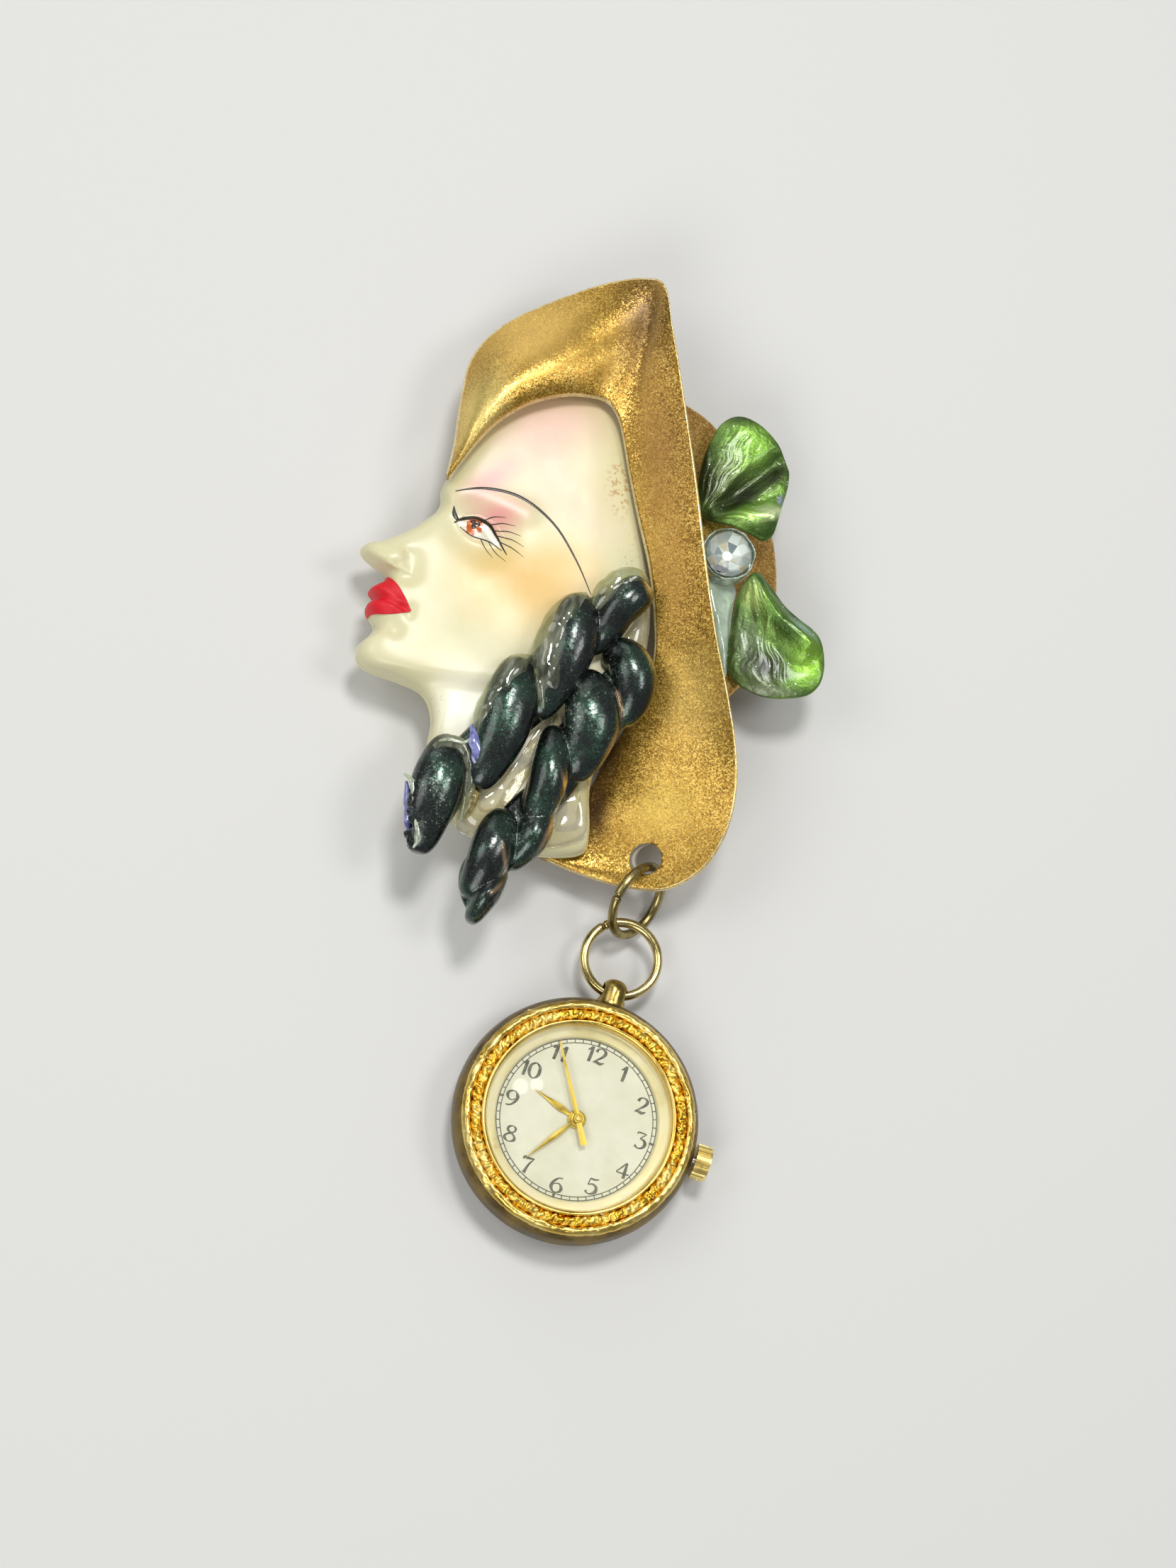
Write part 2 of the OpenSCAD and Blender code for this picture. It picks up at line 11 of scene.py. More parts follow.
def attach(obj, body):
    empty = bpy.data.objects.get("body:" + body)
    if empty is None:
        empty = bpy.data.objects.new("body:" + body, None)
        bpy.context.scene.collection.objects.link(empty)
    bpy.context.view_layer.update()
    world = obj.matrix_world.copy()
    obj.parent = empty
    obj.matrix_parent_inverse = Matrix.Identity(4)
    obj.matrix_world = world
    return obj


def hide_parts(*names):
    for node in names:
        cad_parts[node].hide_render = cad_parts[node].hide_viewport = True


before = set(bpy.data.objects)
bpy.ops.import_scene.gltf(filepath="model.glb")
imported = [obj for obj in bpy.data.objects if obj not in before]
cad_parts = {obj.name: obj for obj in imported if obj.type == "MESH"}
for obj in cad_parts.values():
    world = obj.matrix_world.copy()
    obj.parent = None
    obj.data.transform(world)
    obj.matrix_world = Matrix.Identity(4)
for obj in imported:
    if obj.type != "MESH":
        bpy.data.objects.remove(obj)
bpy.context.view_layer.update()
mm = 0.001
wholePiece = "brooch_and_watch"
print("frame loaded:", len(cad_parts), "nodes")


# Small tools for curves, heights and meshes
def rampUp(start, end, value):  # smooth step from 0 to 1
    t = np.clip((value - start) / (end - start), 0, 1)
    return t * t * (3 - 2 * t)


def bell(distance, width):
    return np.exp(-((distance / width) ** 2))


def toStretch(points, a, b):  # distance from each point to the straight stretch a-b
    a, b = np.array(a, float), np.array(b, float)
    t = np.clip((points - a) @ (b - a) / ((b - a) @ (b - a)), 0, 1)
    return np.linalg.norm(points - (a + t[:, None] * (b - a)), axis=1)


def toLine(points, bends):  # distance to a line with bends
    return np.min([toStretch(points, a, b) for a, b in zip(bends, bends[1:])], axis=0)


def smoothCurve(rows, steps, closed=False):
    rows = np.array(rows, float)
    padded = np.concatenate([rows[-1:], rows, rows[:2]] if closed else [rows[:1], rows, rows[-1:]])
    out = []
    for a, b, c, d in zip(padded, padded[1:], padded[2:], padded[3:]):
        for t in np.arange(steps) / steps:
            out.append(0.5 * (2 * b + (c - a) * t + (2 * a - 5 * b + 4 * c - d) * t**2
                              + (3 * b - a - 3 * c + d) * t**3))
    return np.array(out if closed else out + [rows[-1]])


def wobble(points, size, seed=0.0):  # smooth noise, about -0.5 to 0.5, with lumps of this size
    return np.array([noise.noise(Vector((p[0] / size + seed, p[1] / size - seed, p[2] / size)))
                     for p in points.reshape(-1, 3)]).reshape(points.shape[:-1])


def flat3(points):
    return np.column_stack([points, np.zeros(len(points))])


def roundTurns(count):  # angles all the way round
    return np.linspace(0, 2 * math.pi, count, endpoint=False)


def turnMatrix(angle):
    return np.array([[math.cos(angle), -math.sin(angle)], [math.sin(angle), math.cos(angle)]])


def acrossLine(rows):  # unit directions to the left of a line of x and y
    ahead = np.gradient(rows[:, :2], axis=0)
    ahead /= np.maximum(np.linalg.norm(ahead, axis=1), 1e-9)[:, None]
    return np.column_stack([-ahead[:, 1], ahead[:, 0]])


def gridFaces(rows, cols, closeCols=True, closeRows=False, first=0):
    r = np.arange(rows if closeRows else rows - 1)[:, None]
    c = np.arange(cols if closeCols else cols - 1)[None, :]
    a, b = r * cols + c, r * cols + (c + 1) % cols
    d, e = ((r + 1) % rows) * cols + c, ((r + 1) % rows) * cols + (c + 1) % cols
    return (np.stack([a, b, e, d], -1).reshape(-1, 4) + first).tolist()


def newObject(name, data):
    thing = bpy.data.objects.new(name, data)
    bpy.context.scene.collection.objects.link(thing)
    return thing


def makePiece(name, points, faces, finish, body=wholePiece, smooth=True, closed=True):
    mesh = bpy.data.meshes.new(name)
    mesh.from_pydata((np.asarray(points, float) * mm).tolist(), [], faces)
    if closed:
        work = bmesh.new()
        work.from_mesh(mesh)
        bmesh.ops.recalc_face_normals(work, faces=work.faces)
        work.to_mesh(mesh)
        work.free()
    mesh.polygons.foreach_set("use_smooth", [smooth] * len(mesh.polygons))
    for each in finish if isinstance(finish, list) else [finish]:
        mesh.materials.append(each)
    piece = newObject(name, mesh)
    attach(piece, body)
    return piece


def standsFor(piece, node):
    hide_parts(node)


def applied(piece):  # the piece with its modifiers made real
    made = bpy.data.meshes.new_from_object(piece.evaluated_get(bpy.context.evaluated_depsgraph_get()))
    piece.modifiers.clear()
    piece.data = made
    return piece


def loftMesh(sections, closeRows=False):  # sections: rows x points round x 3
    rows, cols = sections.shape[:2]
    points = sections.reshape(-1, 3)
    faces = gridFaces(rows, cols, True, closeRows)
    if not closeRows:  # a middle point closes each end
        points = np.concatenate([points, [sections[0].mean(0)], [sections[-1].mean(0)]])
        for start, middle in ((0, rows * cols), ((rows - 1) * cols, rows * cols + 1)):
            faces += [[start + k, start + (k + 1) % cols, middle] for k in range(cols)]
    return points, faces


def loftPiece(name, sections, finish, closeRows=False, **more):
    return makePiece(name, *loftMesh(sections, closeRows), finish, **more)


def fused(name, lofts, finish, grain, passes):  # several lofts run together into one skin
    points, faces = np.zeros((0, 3)), []
    for sections in lofts:
        more, moreFaces = loftMesh(sections)
        faces += [[v + len(points) for v in each] for each in moreFaces]
        points = np.concatenate([points, more])
    piece = makePiece(name, points, faces, finish)
    skin = piece.modifiers.new("skin", "REMESH")
    skin.mode, skin.voxel_size, skin.use_smooth_shade = "VOXEL", grain * mm, True
    soft = piece.modifiers.new("soft", "SMOOTH")
    soft.factor, soft.iterations = 0.5, passes
    return applied(piece)


rimTurns = np.radians([60, 30, 0, -30, -60])  # the rounding of an edge, from its top to its underside


# A solid over an outline: rings run from the hub over the top, round the rim and back below.
# top and bottom give heights at points and at their share of the way to the rim.
def platePiece(name, outline, hub, shares, underShares, top, bottom, edge, finish):
    hub = np.array(hub, float)
    outward = outline - hub
    reach = np.linalg.norm(outward, axis=1)
    inner = outward * (1 - edge / reach)[:, None]
    rings = []
    for share in shares:
        ground = hub + inner * share
        rings.append(np.column_stack([ground, top(ground, share)]))
    high, low = rings[-1][:, 2], bottom(ground, 1)
    for angle in rimTurns:
        ground = hub + inner + outward / reach[:, None] * edge * math.cos(angle)
        rings.append(np.column_stack([ground, (high + low) / 2 + (high - low) / 2 * math.sin(angle)]))
    for share in underShares:
        ground = hub + inner * share
        rings.append(np.column_stack([ground, bottom(ground, share)]))
    return loftPiece(name, np.array(rings), finish)


# Flat strokes of paint or ink: each stroke is rows of x, y and width, laid on a height
def strokeMesh(strokes, height, lift, steps=6):
    points, faces = np.zeros((0, 3)), []
    for rows in strokes:
        run = smoothCurve(rows, steps)
        side = acrossLine(run)
        faces += gridFaces(5, len(run), False, False, len(points))
        for off, rise in ((-0.5, 0.2), (-0.25, 0.85), (0, 1), (0.25, 0.85), (0.5, 0.2)):
            ground = run[:, :2] + side * (run[:, 2] * off)[:, None]
            points = np.vstack([points, np.column_stack([ground, height(ground) + lift * rise])])
    return points, faces


# Colours and materials
def linearColour(code):  # sRGB hex to linear light
    parts = [int(code[i:i + 2], 16) / 255 for i in (1, 3, 5)]
    return (*(p / 12.92 if p <= 0.04045 else ((p + 0.055) / 1.055) ** 2.4 for p in parts), 1.0)


def fillNode(tree, node, given):  # a node or an output that is given is linked, all else is set
    for name, value in given.items():
        if isinstance(value, bpy.types.bpy_struct):
            tree.links.new(getattr(value, "outputs", [value])[0], node.inputs[name])
        elif name == "stops":
            stops = node.color_ramp.elements
            for index, (place, shade) in enumerate(value):
                stop = stops[index] if index < len(stops) else stops.new(place)
                stop.position, stop.color = place, linearColour(shade)
        elif isinstance(name, int) or name in node.inputs:
            node.inputs[name].default_value = linearColour(value) if isinstance(value, str) else value
        else:
            setattr(node, name, value)
    return node


def addNode(tree, kind, given=None):
    return fillNode(tree, tree.nodes.new("ShaderNode" + kind), given or {})


def startMaterial(name, settings=None):  # gives the material, what adds its nodes, and the place in metres
    material = bpy.data.materials.new(name)
    material.use_nodes = True
    tree = material.node_tree
    fillNode(tree, tree.nodes["Principled BSDF"], settings or {})
    add = functools.partial(addNode, tree)
    return material, add, add("TexCoord").outputs["Object"]


def finished(material, links):  # links go to the shader, or a whole surface goes to the output
    tree = material.node_tree
    fillNode(tree, tree.nodes["Material Output" if "Surface" in links else "Principled BSDF"], links)
    return material


# A soft round or long spot in object space: 1 in its middle, 0 at its edge
def softSpot(add, place, at, size, turn, height):
    moved = add("Mapping", {"vector_type": "TEXTURE", "Location": [v * mm for v in at],
                            "Rotation": (0, 0, math.radians(turn)),
                            "Scale": (size[0] * mm, size[1] * mm, height * mm), "Vector": place})
    ball = add("TexGradient", {"gradient_type": "SPHERICAL", "Vector": moved})
    return add("MapRange", {"interpolation_type": "SMOOTHSTEP", "Value": ball.outputs["Fac"]})


def paintedOver(add, colour, where, strength, shade):
    share = add("Math", {"operation": "MULTIPLY", 0: where, 1: strength})
    return add("Mix", {"data_type": "RGBA", 7: shade, 0: share, 6: colour}).outputs[2]


# Lays soft spots over a colour. Each is middle, size, turn, strength, shade.
def tinted(add, place, colour, spots, height, depth):
    for at, size, turn, strength, shade in spots:
        where = softSpot(add, place, (*at, height), size, turn, depth)
        colour = paintedOver(add, colour, where, strength, shade)
    return colour


# A way for each flake to face: the piece's normal with the flake's random colour as its lean
def flakeLean(add, flakes, lean, normal):
    away = add("VectorMath", {"operation": "SUBTRACT", 1: (0.5, 0.5, 0.5), 0: flakes.outputs["Color"]})
    return add("VectorMath", {"operation": "MULTIPLY_ADD", 1: (lean,) * 3, 0: away, 2: normal})


# Specks of dust in mixed sizes, this many mm apart
def dustSpecks(add, place, apart, largest, amount=None):
    dust = add("TexVoronoi", {"Scale": 1000 / apart, "Vector": place})
    size = add("SeparateColor", {0: dust.outputs["Color"]})
    limit = add("Math", {"operation": "MULTIPLY", 1: largest, 0: size})
    if amount:
        limit = add("Math", {"operation": "MULTIPLY", 0: limit, 1: amount})
    return add("Math", {"operation": "LESS_THAN", 0: dust.outputs["Distance"], 1: limit})


# Head plate
face = {
    "third": 11.8, "tilt": 24, "browPoint": (-17.6, 31), "hub": (-8, 15),
    "back": 5.5, "rim": 0.8, "headRelief": 3.2, "neckRelief": 2.3,
    "profile": [(0, 2.02), (-0.06, 1.84), (0.01, 1.66), (0.15, 1.44), (0.33, 1.24), (0.45, 1.14),
                (0.43, 1.05), (0.3, 1), (0.14, 0.97), (0.11, 0.88), (0.17, 0.8), (0.2, 0.73),
                (0.11, 0.665), (0.16, 0.6), (0.13, 0.52), (0.01, 0.42), (0.03, 0.3), (0.07, 0.19),
                (0.03, 0.06), (-0.12, 0), (-0.42, 0.03), (-0.7, 0.02)],
    "neckAndBack": [(-18.5, 3.4), (-19, -1), (-17.7, -5.4), (-15.8, -8.6), (-13.6, -10.2), (-10.4, -11.2),
                    (-5.9, -12.2), (-1.2, -11.9), (-0.1, -9.8), (0, -4.2), (1.4, 0), (3.6, 3.8), (5.7, 8.2),
                    (6.8, 13), (7.3, 18), (6.9, 24), (6.1, 30), (5.2, 36), (4.2, 40.5), (1.8, 43.4),
                    (-2.5, 44.6), (-7.5, 43.4), (-11.6, 40.4), (-14.4, 36.6), (-16.3, 33.4)],
    # raised and sunken forms: from, to, width in thirds, height
    "forms": [((-0.85, 1.2), (-1.15, 1.05), 0.5, 0.6), ((-0.42, 1.74), (-0.62, 1.72), 0.24, -0.85),
              ((-0.46, 1.71), (-0.56, 1.7), 0.13, 0.55), ((-0.2, 1.98), (-0.85, 2.06), 0.14, 0.25),
              ((0.1, 1.1), (0.16, 1.06), 0.12, 0.35), ((-0.04, 1.17), (-0.1, 1), 0.09, -0.3),
              ((0.16, 0.74), (-0.1, 0.69), 0.06, 0.3), ((0.12, 0.58), (-0.06, 0.62), 0.07, 0.3),
              ((0.1, 0.665), (-0.2, 0.66), 0.035, -0.3), ((0.02, 0.42), (-0.2, 0.42), 0.08, -0.25)],
    # finer forms: lids, wing of the nose, corner of the mouth
    "fineForms": [([(-0.3, 1.7), (-0.42, 1.79), (-0.58, 1.79), (-0.74, 1.68)], 0.03, 0.16),
                  ([(-0.34, 1.8), (-0.46, 1.87), (-0.62, 1.87), (-0.8, 1.76)], 0.028, -0.14),
                  ([(-0.34, 1.66), (-0.5, 1.61), (-0.7, 1.65)], 0.03, 0.1),
                  ([(0.08, 1.02), (0, 1.1), (0.02, 1.2)], 0.035, -0.12),
                  ([(-0.24, 0.7), (-0.26, 0.62)], 0.05, -0.14)],
    "jaw": ((-0.25, 0.04), (-2.3, 0.75)),
}
browPoint = np.array(face["browPoint"], float)
faceTilt = math.radians(face["tilt"])
faceUp = np.array([math.sin(faceTilt), math.cos(faceTilt)])
faceAhead = np.array([-math.cos(faceTilt), math.sin(faceTilt)])


def onFace(ahead, up):  # thirds of the face, ahead of the brow and above the chin, to millimetres
    return browPoint - 2 * face["third"] * faceUp + face["third"] * (ahead * faceAhead + up * faceUp)


faceOutline = smoothCurve([onFace(*q) for q in face["profile"]] + face["neckAndBack"], 10, True)
faceHub = np.array(face["hub"], float)
outlineTurn = np.unwrap(np.arctan2(*(faceOutline - faceHub).T[::-1]))
outlineReach = np.linalg.norm(faceOutline - faceHub, axis=1)


def faceShare(points):  # share of the way from the hub to the outline
    off = points - faceHub
    turn = np.arctan2(off[:, 1], off[:, 0])
    low = outlineTurn.min()
    turn = low + np.mod(turn - low, 2 * math.pi)
    order = np.argsort(outlineTurn)
    edge = np.interp(turn, outlineTurn[order], outlineReach[order])
    return np.clip(np.linalg.norm(off, axis=1) / edge, 0, 1)


def faceHeight(points, share):
    third = face["third"]
    front, rear = (onFace(*q) for q in face["jaw"])
    along, off = rear - front, points - front
    aboveJaw = rampUp(-1.4, 0.6, (along[0] * off[:, 1] - along[1] * off[:, 0]) / np.linalg.norm(along))
    relief = face["neckRelief"] + (face["headRelief"] - face["neckRelief"]) * aboveJaw
    relief = relief * (1 - 0.12 * rampUp(-1, 7, points[:, 0]))
    for start, end, width, height in face["forms"]:
        relief = relief + height * bell(toStretch(points, onFace(*start), onFace(*end)), width * third)
    for bends, width, height in face["fineForms"]:
        relief = relief + height * bell(toLine(points, [onFace(*q) for q in bends]), width * third)
    return face["back"] + face["rim"] + relief * np.sqrt(np.maximum(0, 1 - np.asarray(share) ** 20))


def faceTop(points):
    return faceHeight(points, faceShare(points))


ivoryPaint = {
    "ground": ("#d7d0a0", "#e0dab2"),
    "clouds": [  # middle, size, turn, strength, colour
        (onFace(-1.05, 1.22) + (1, 1.5), (13, 9), -15, 0.9, "#e8c36e"),
        ((-4, 20.5), (8, 8), 0, 0.85, "#e8bf68"),
        (onFace(-1.05, 1.22) + (1.5, 1), (7, 5), -15, 0.4, "#e2b15e"),
        ((-5, 38.2), (11, 7), 15, 0.95, "#d8a98e"),
        (onFace(-0.62, 1.93), (5.5, 3.6), 20, 0.85, "#e6938f"),
        (onFace(-1.15, 2.45), (12, 6), -35, 0.35, "#ecbcae"),
        (onFace(-0.4, 2.22), (6.5, 3), 40, 0.8, "#e8a09c"), ((-10, -3), (11, 9), 0, 0.85, "#f4f1da"),
        # The first cloud on the next line, pale on the neck, is painted light that evens out the shade
        # falling on the neck's rounded edge.
        ((-14.8, 4.5), (7, 7), 0, 0.95, "#fbf8e6"), ((1.5, 32), (7, 11), 8, 0.6, "#d8ca92")],
    # blue-grey overspray under the jaw and on the neck, brown stains at the temple: middle, size, dot, limit
    "specks": [((-19.5, 4.2), (4.5, 3.6), 0.34, 0.62, "#93a0b4"), ((-6, 5), (9, 6), 0.5, 0.72, "#b9a878"),
               ((3.1, 31.6), (2.4, 5.4), 0.5, 0.53, "#b98b4a"), ((4.5, 21), (2.5, 8), 0.4, 0.62, "#a99c80")],
}


# Cast resin under sprayed ivory lacquer: satin, a little light goes in, colour blown on in soft clouds, one
# of them painted light on the neck
def lacqueredIvory():
    material, add, place = startMaterial("ivoryLacquerSprayed", {
        "Roughness": 0.36, "Subsurface Weight": 0.12, "Subsurface Radius": (0.0012, 0.0009, 0.0005),
        "Subsurface Scale": 1.0, "Coat Weight": 0.2, "Coat Roughness": 0.26})
    cloud = add("TexNoise", {"Scale": 110, "Detail": 3, "Vector": place})  # clouds of 9 mm
    colour = add("ValToRGB", {"stops": list(zip((0.3, 0.7), ivoryPaint["ground"])), "Fac": cloud})
    colour = tinted(add, place, colour, ivoryPaint["clouds"], 9.5, 4)  # the back of the plate stays plain
    for at, size, dot, limit, shade in ivoryPaint["specks"]:
        grain = add("TexNoise", {"Scale": 1000 / dot, "Detail": 2, "Vector": place})
        dots = add("MapRange", {"From Min": limit, "From Max": limit + 0.08, "Value": grain})
        colour = paintedOver(add, colour, dots, softSpot(add, place, (*at, 9), size, 0, 3.5), shade)
    fine = add("TexNoise", {"Scale": 2000, "Detail": 2, "Vector": place})  # sprayed texture of 0.5 mm
    broad = add("TexNoise", {"Scale": 330, "Detail": 2, "Vector": place})  # soft hollows of 3 mm
    ground = add("Bump", {"Strength": 0.25, "Distance": 0.00015, "Height": broad})
    relief = add("Bump", {"Strength": 0.12, "Distance": 0.00003, "Height": fine, "Normal": ground})
    rough = add("MapRange", {"To Min": 0.3, "To Max": 0.44, "Value": broad})
    return finished(material, {"Base Color": colour, "Normal": relief, "Roughness": rough})


# Brushed enamel paint: a thick glossy line or patch, a little uneven, with brush marks of 0.7 mm
def brushedEnamel(name, dark, light, roughness, coat=0.15):
    material, add, place = startMaterial(name, {
        "Roughness": roughness, "Coat Weight": coat, "Coat Roughness": 0.2})
    streak = add("TexNoise", {"Scale": 1400, "Detail": 3, "Vector": place})
    colour = add("ValToRGB", {"stops": [(0.35, dark), (0.7, light)], "Fac": streak})
    relief = add("Bump", {"Strength": 0.06, "Distance": 0.00003, "Height": streak})
    return finished(material, {"Base Color": colour, "Normal": relief})


faceShares = np.concatenate([np.linspace(0.012, 0.88, 78),
                             1 - 0.12 * (1 - np.linspace(0, 1, 22)[1:]) ** 1.6])
headPlate = platePiece("headPlate", faceOutline, faceHub, faceShares, (1, 0.6, 0.2), faceHeight,
                       lambda points, share: np.full(len(points), face["back"]), 0.18,
                       lacqueredIvory())
standsFor(headPlate, "face_and_neck")

makeUp = {  # strokes in thirds of the face with widths in mm: [ahead, up, width]
    "brow": [[(-0.14, 1.97, 0.1), (-0.4, 2.13, 0.32), (-0.75, 2.2, 0.34), (-1.15, 2.1, 0.26),
              (-1.5, 1.86, 0.2), (-1.78, 1.6, 0.08)]],
    "lashes": [[(-0.26, 1.68, 0.1), (-0.33, 1.76, 0.34), (-0.44, 1.815, 0.42), (-0.58, 1.81, 0.36),
                (-0.7, 1.73, 0.26), (-0.86, 1.6, 0.08)],
               [(-0.33, 1.665, 0.06), (-0.48, 1.625, 0.13), (-0.66, 1.65, 0.13), (-0.8, 1.62, 0.06)],
               [(-0.29, 1.72, 0.22), (-0.23, 1.76, 0.4), (-0.19, 1.83, 0.06)],
               [(-0.5, 1.81, 0.1), (-0.58, 1.9, 0.09), (-0.7, 1.95, 0.03)],
               [(-0.57, 1.8, 0.1), (-0.68, 1.88, 0.09), (-0.82, 1.91, 0.03)],
               [(-0.63, 1.77, 0.1), (-0.76, 1.83, 0.09), (-0.91, 1.84, 0.03)],
               [(-0.68, 1.74, 0.1), (-0.82, 1.77, 0.09), (-0.98, 1.75, 0.03)],
               [(-0.72, 1.7, 0.1), (-0.87, 1.69, 0.09), (-1.02, 1.65, 0.03)],
               [(-0.64, 1.65, 0.08), (-0.76, 1.57, 0.07), (-0.88, 1.53, 0.03)],
               [(-0.56, 1.635, 0.08), (-0.66, 1.56, 0.07), (-0.75, 1.51, 0.03)]],
    "white": [(-0.3, 1.685), (-0.38, 1.78), (-0.5, 1.8), (-0.62, 1.775), (-0.76, 1.655), (-0.6, 1.635),
              (-0.45, 1.635)],
    "dots": {  # round dabs of the eye: middle in thirds, size in mm, stretch, steps, lift, enamel
        "iris": ((-0.46, 1.72), 1.12, 0.95, 40, 0.035, ("amberEnamelIris", "#b4501c", "#e0762c", 0.2)),
        "irisShade": ((-0.455, 1.757), 0.72, 0.6, 40, 0.055,
                      ("umberEnamelShade", "#2b170d", "#5a3016", 0.2)),
        "pupil": ((-0.45, 1.725), 0.36, 1, 24, 0.07, None),
        "eyeGlint": ((-0.49, 1.695), 0.17, 0.9, 20, 0.085, ("whiteEnamelDot", "#eeeae0", "#ffffff", 0.2))},
    "lift": 0.05, "wider": {"brow": 1.0, "lashes": 1.35},
}
darkLine = brushedEnamel("brownBlackEnamelLine", "#1d1712", "#3a2d22", 0.3)
for name, wider in makeUp["wider"].items():
    strokes = [[(*onFace(a, u), w * wider) for a, u, w in stroke] for stroke in makeUp[name]]
    makePiece(name, *strokeMesh(strokes, faceTop, makeUp["lift"]), darkLine, closed=False)


def paintPatch(name, outline, lift, finish):  # a filled patch of paint on the head
    outline = np.array(outline, float)
    hub = outline.mean(0)
    rings = []
    for share in (0.05, 0.35, 0.65, 0.88, 1.0):
        ground = hub + (outline - hub) * share
        rings.append(np.column_stack([ground, faceTop(ground) + lift * (1 - share**4) + 0.01]))
    cols = len(outline)
    faces = gridFaces(len(rings), cols) + [list(range(cols))]
    makePiece(name, np.concatenate(rings), faces, finish, closed=False)


eyeWhite = smoothCurve([onFace(*q) for q in makeUp["white"]], 6, True)
paintPatch("eyeWhite", eyeWhite, 0.02, brushedEnamel("creamEnamelEye", "#d9d2b8", "#efe9d6", 0.3))
for name, (at, size, stretch, steps, lift, finish) in makeUp["dots"].items():
    angles = roundTurns(steps)
    ahead = np.outer(np.cos(angles) * size, faceAhead)
    up = np.outer(np.sin(angles) * size * stretch, faceUp)
    paintPatch(name, onFace(*at) + ahead + up, lift, brushedEnamel(*finish) if finish else darkLine)

lips = {"corner": (-0.26, 0.665), "upperFrom": 8.55, "between": (11.6, 12.2), "lowerTo": 14.3, "lift": 0.2}


def lipPatch():  # rows run from the mouth's corner to the edge of the profile, then round its rim
    corner = onFace(*lips["corner"])
    places = np.linspace(lips["upperFrom"], lips["lowerTo"], 90)
    steps = np.arange(len(faceOutline))
    edge = np.array([np.interp(places * 10, steps, faceOutline[:, k]) for k in (0, 1)]).T
    rows = []
    for share in np.concatenate([np.linspace(0.02, 0.9, 22), np.linspace(0.92, 1, 9)]):
        bow = 0.55 * np.sin(math.pi * share) * np.interp(
            places, [places[0], *lips["between"], places[-1]], [-0.5, 0, 0, 0.75])
        ground = corner + (edge - corner) * share + np.outer(bow, -faceUp)
        inside = faceHub + (ground - faceHub) * 0.9985
        over = np.sin(np.pi * (places - places[0]) / (places[-1] - places[0])) ** 0.3
        swell = lips["lift"] * (0.4 + 0.6 * over)
        rows.append(np.column_stack([ground, faceTop(inside) + swell]))
    out = (edge - faceHub) / np.linalg.norm(edge - faceHub, axis=1)[:, None]
    for drop in (0.15, 0.45, 0.75):
        rims = np.full(len(edge), face["back"] + face["rim"] - drop)
        rows.append(np.column_stack([edge + out * 0.05, rims]))
    makePiece("lips", np.concatenate(rows), gridFaces(len(rows), len(places), False),
              brushedEnamel("scarletEnamelLips", "#d4021a", "#dc041e", 0.5, 0.0), closed=False)


lipPatch()
print("head plate and paint made")

# Hat
brim = {  # inner x, y, z, outer x, y, z, crest height, crest's place from the inner edge
    "sections": [
        (-17.1, 31.2, 9.8, -17.4, 31.9, 9.7, 0, 0.4), (-15.5, 33.3, 10.8, -16.5, 35.8, 9.4, 0.5, 0.36),
        (-13.6, 35.7, 11.1, -15.8, 40.8, 8.9, 1.4, 0.34), (-11.1, 38.2, 11.2, -14.4, 46.6, 8.7, 1.9, 0.32),
        (-7.9, 40.2, 11.2, -10.7, 50.8, 8.9, 2.1, 0.32), (-4.3, 41.4, 11.2, -4.9, 53.8, 9.6, 1.8, 0.33),
        (-1.2, 41.7, 11, 1, 55.8, 11, 1, 0.36), (1.2, 41.3, 10.7, 5.8, 56.28, 12.4, 0, 0.45),
        (2.5, 39.8, 10.5, 7.9, 55, 13.2, -0.6, 0.5), (3.2, 37.6, 10.3, 8.7, 49.8, 13.6, -0.8, 0.52),
        (4, 32.9, 10.1, 10, 41.2, 13.7, -0.8, 0.52), (5.1, 27.3, 10, 11.5, 30.8, 13.5, -0.7, 0.52),
        (6.3, 21.8, 9.9, 12.7, 20.5, 13.2, -0.7, 0.52), (7, 16.4, 9.4, 13.9, 12.3, 12.8, -0.7, 0.52),
        (7.1, 11.2, 8.4, 15.2, 6, 12.2, -0.8, 0.52), (5.6, 5.9, 6.6, 16.2, -0.2, 11.6, -0.9, 0.52),
        (2.4, 0.4, 4.3, 16.2, -5.5, 11, -0.6, 0.5), (0.2, -4.1, 3.9, 15.1, -10, 10.2, -0.4, 0.5),
        (-0.6, -7, 3.7, 12.7, -13.7, 8.8, -0.3, 0.5), (-1.6, -9, 3.7, 8.9, -15.8, 7, -0.2, 0.5),
        (-3, -10.2, 3.8, 4.5, -15.4, 5.4, 0, 0.5), (-4.8, -10.6, 3.9, -0.4, -14, 4.5, 0, 0.5),
        (-6.4, -11, 3.9, -4.6, -12.3, 4.1, 0, 0.5)],
    "wall": 1.8, "edgeShare": 0.6, "lipRows": 160, "stepsAlong": 11, "stepsAcross": 34,
    "holeAt": (6.9, -12.1, 6.3), "holeLean": (10, -38, 0), "holeRadius": 1.8,
    "lumps": [(0.07, 5.5, 3.1), (0.03, 1.6, 7.7)],  # height, size, seed
}


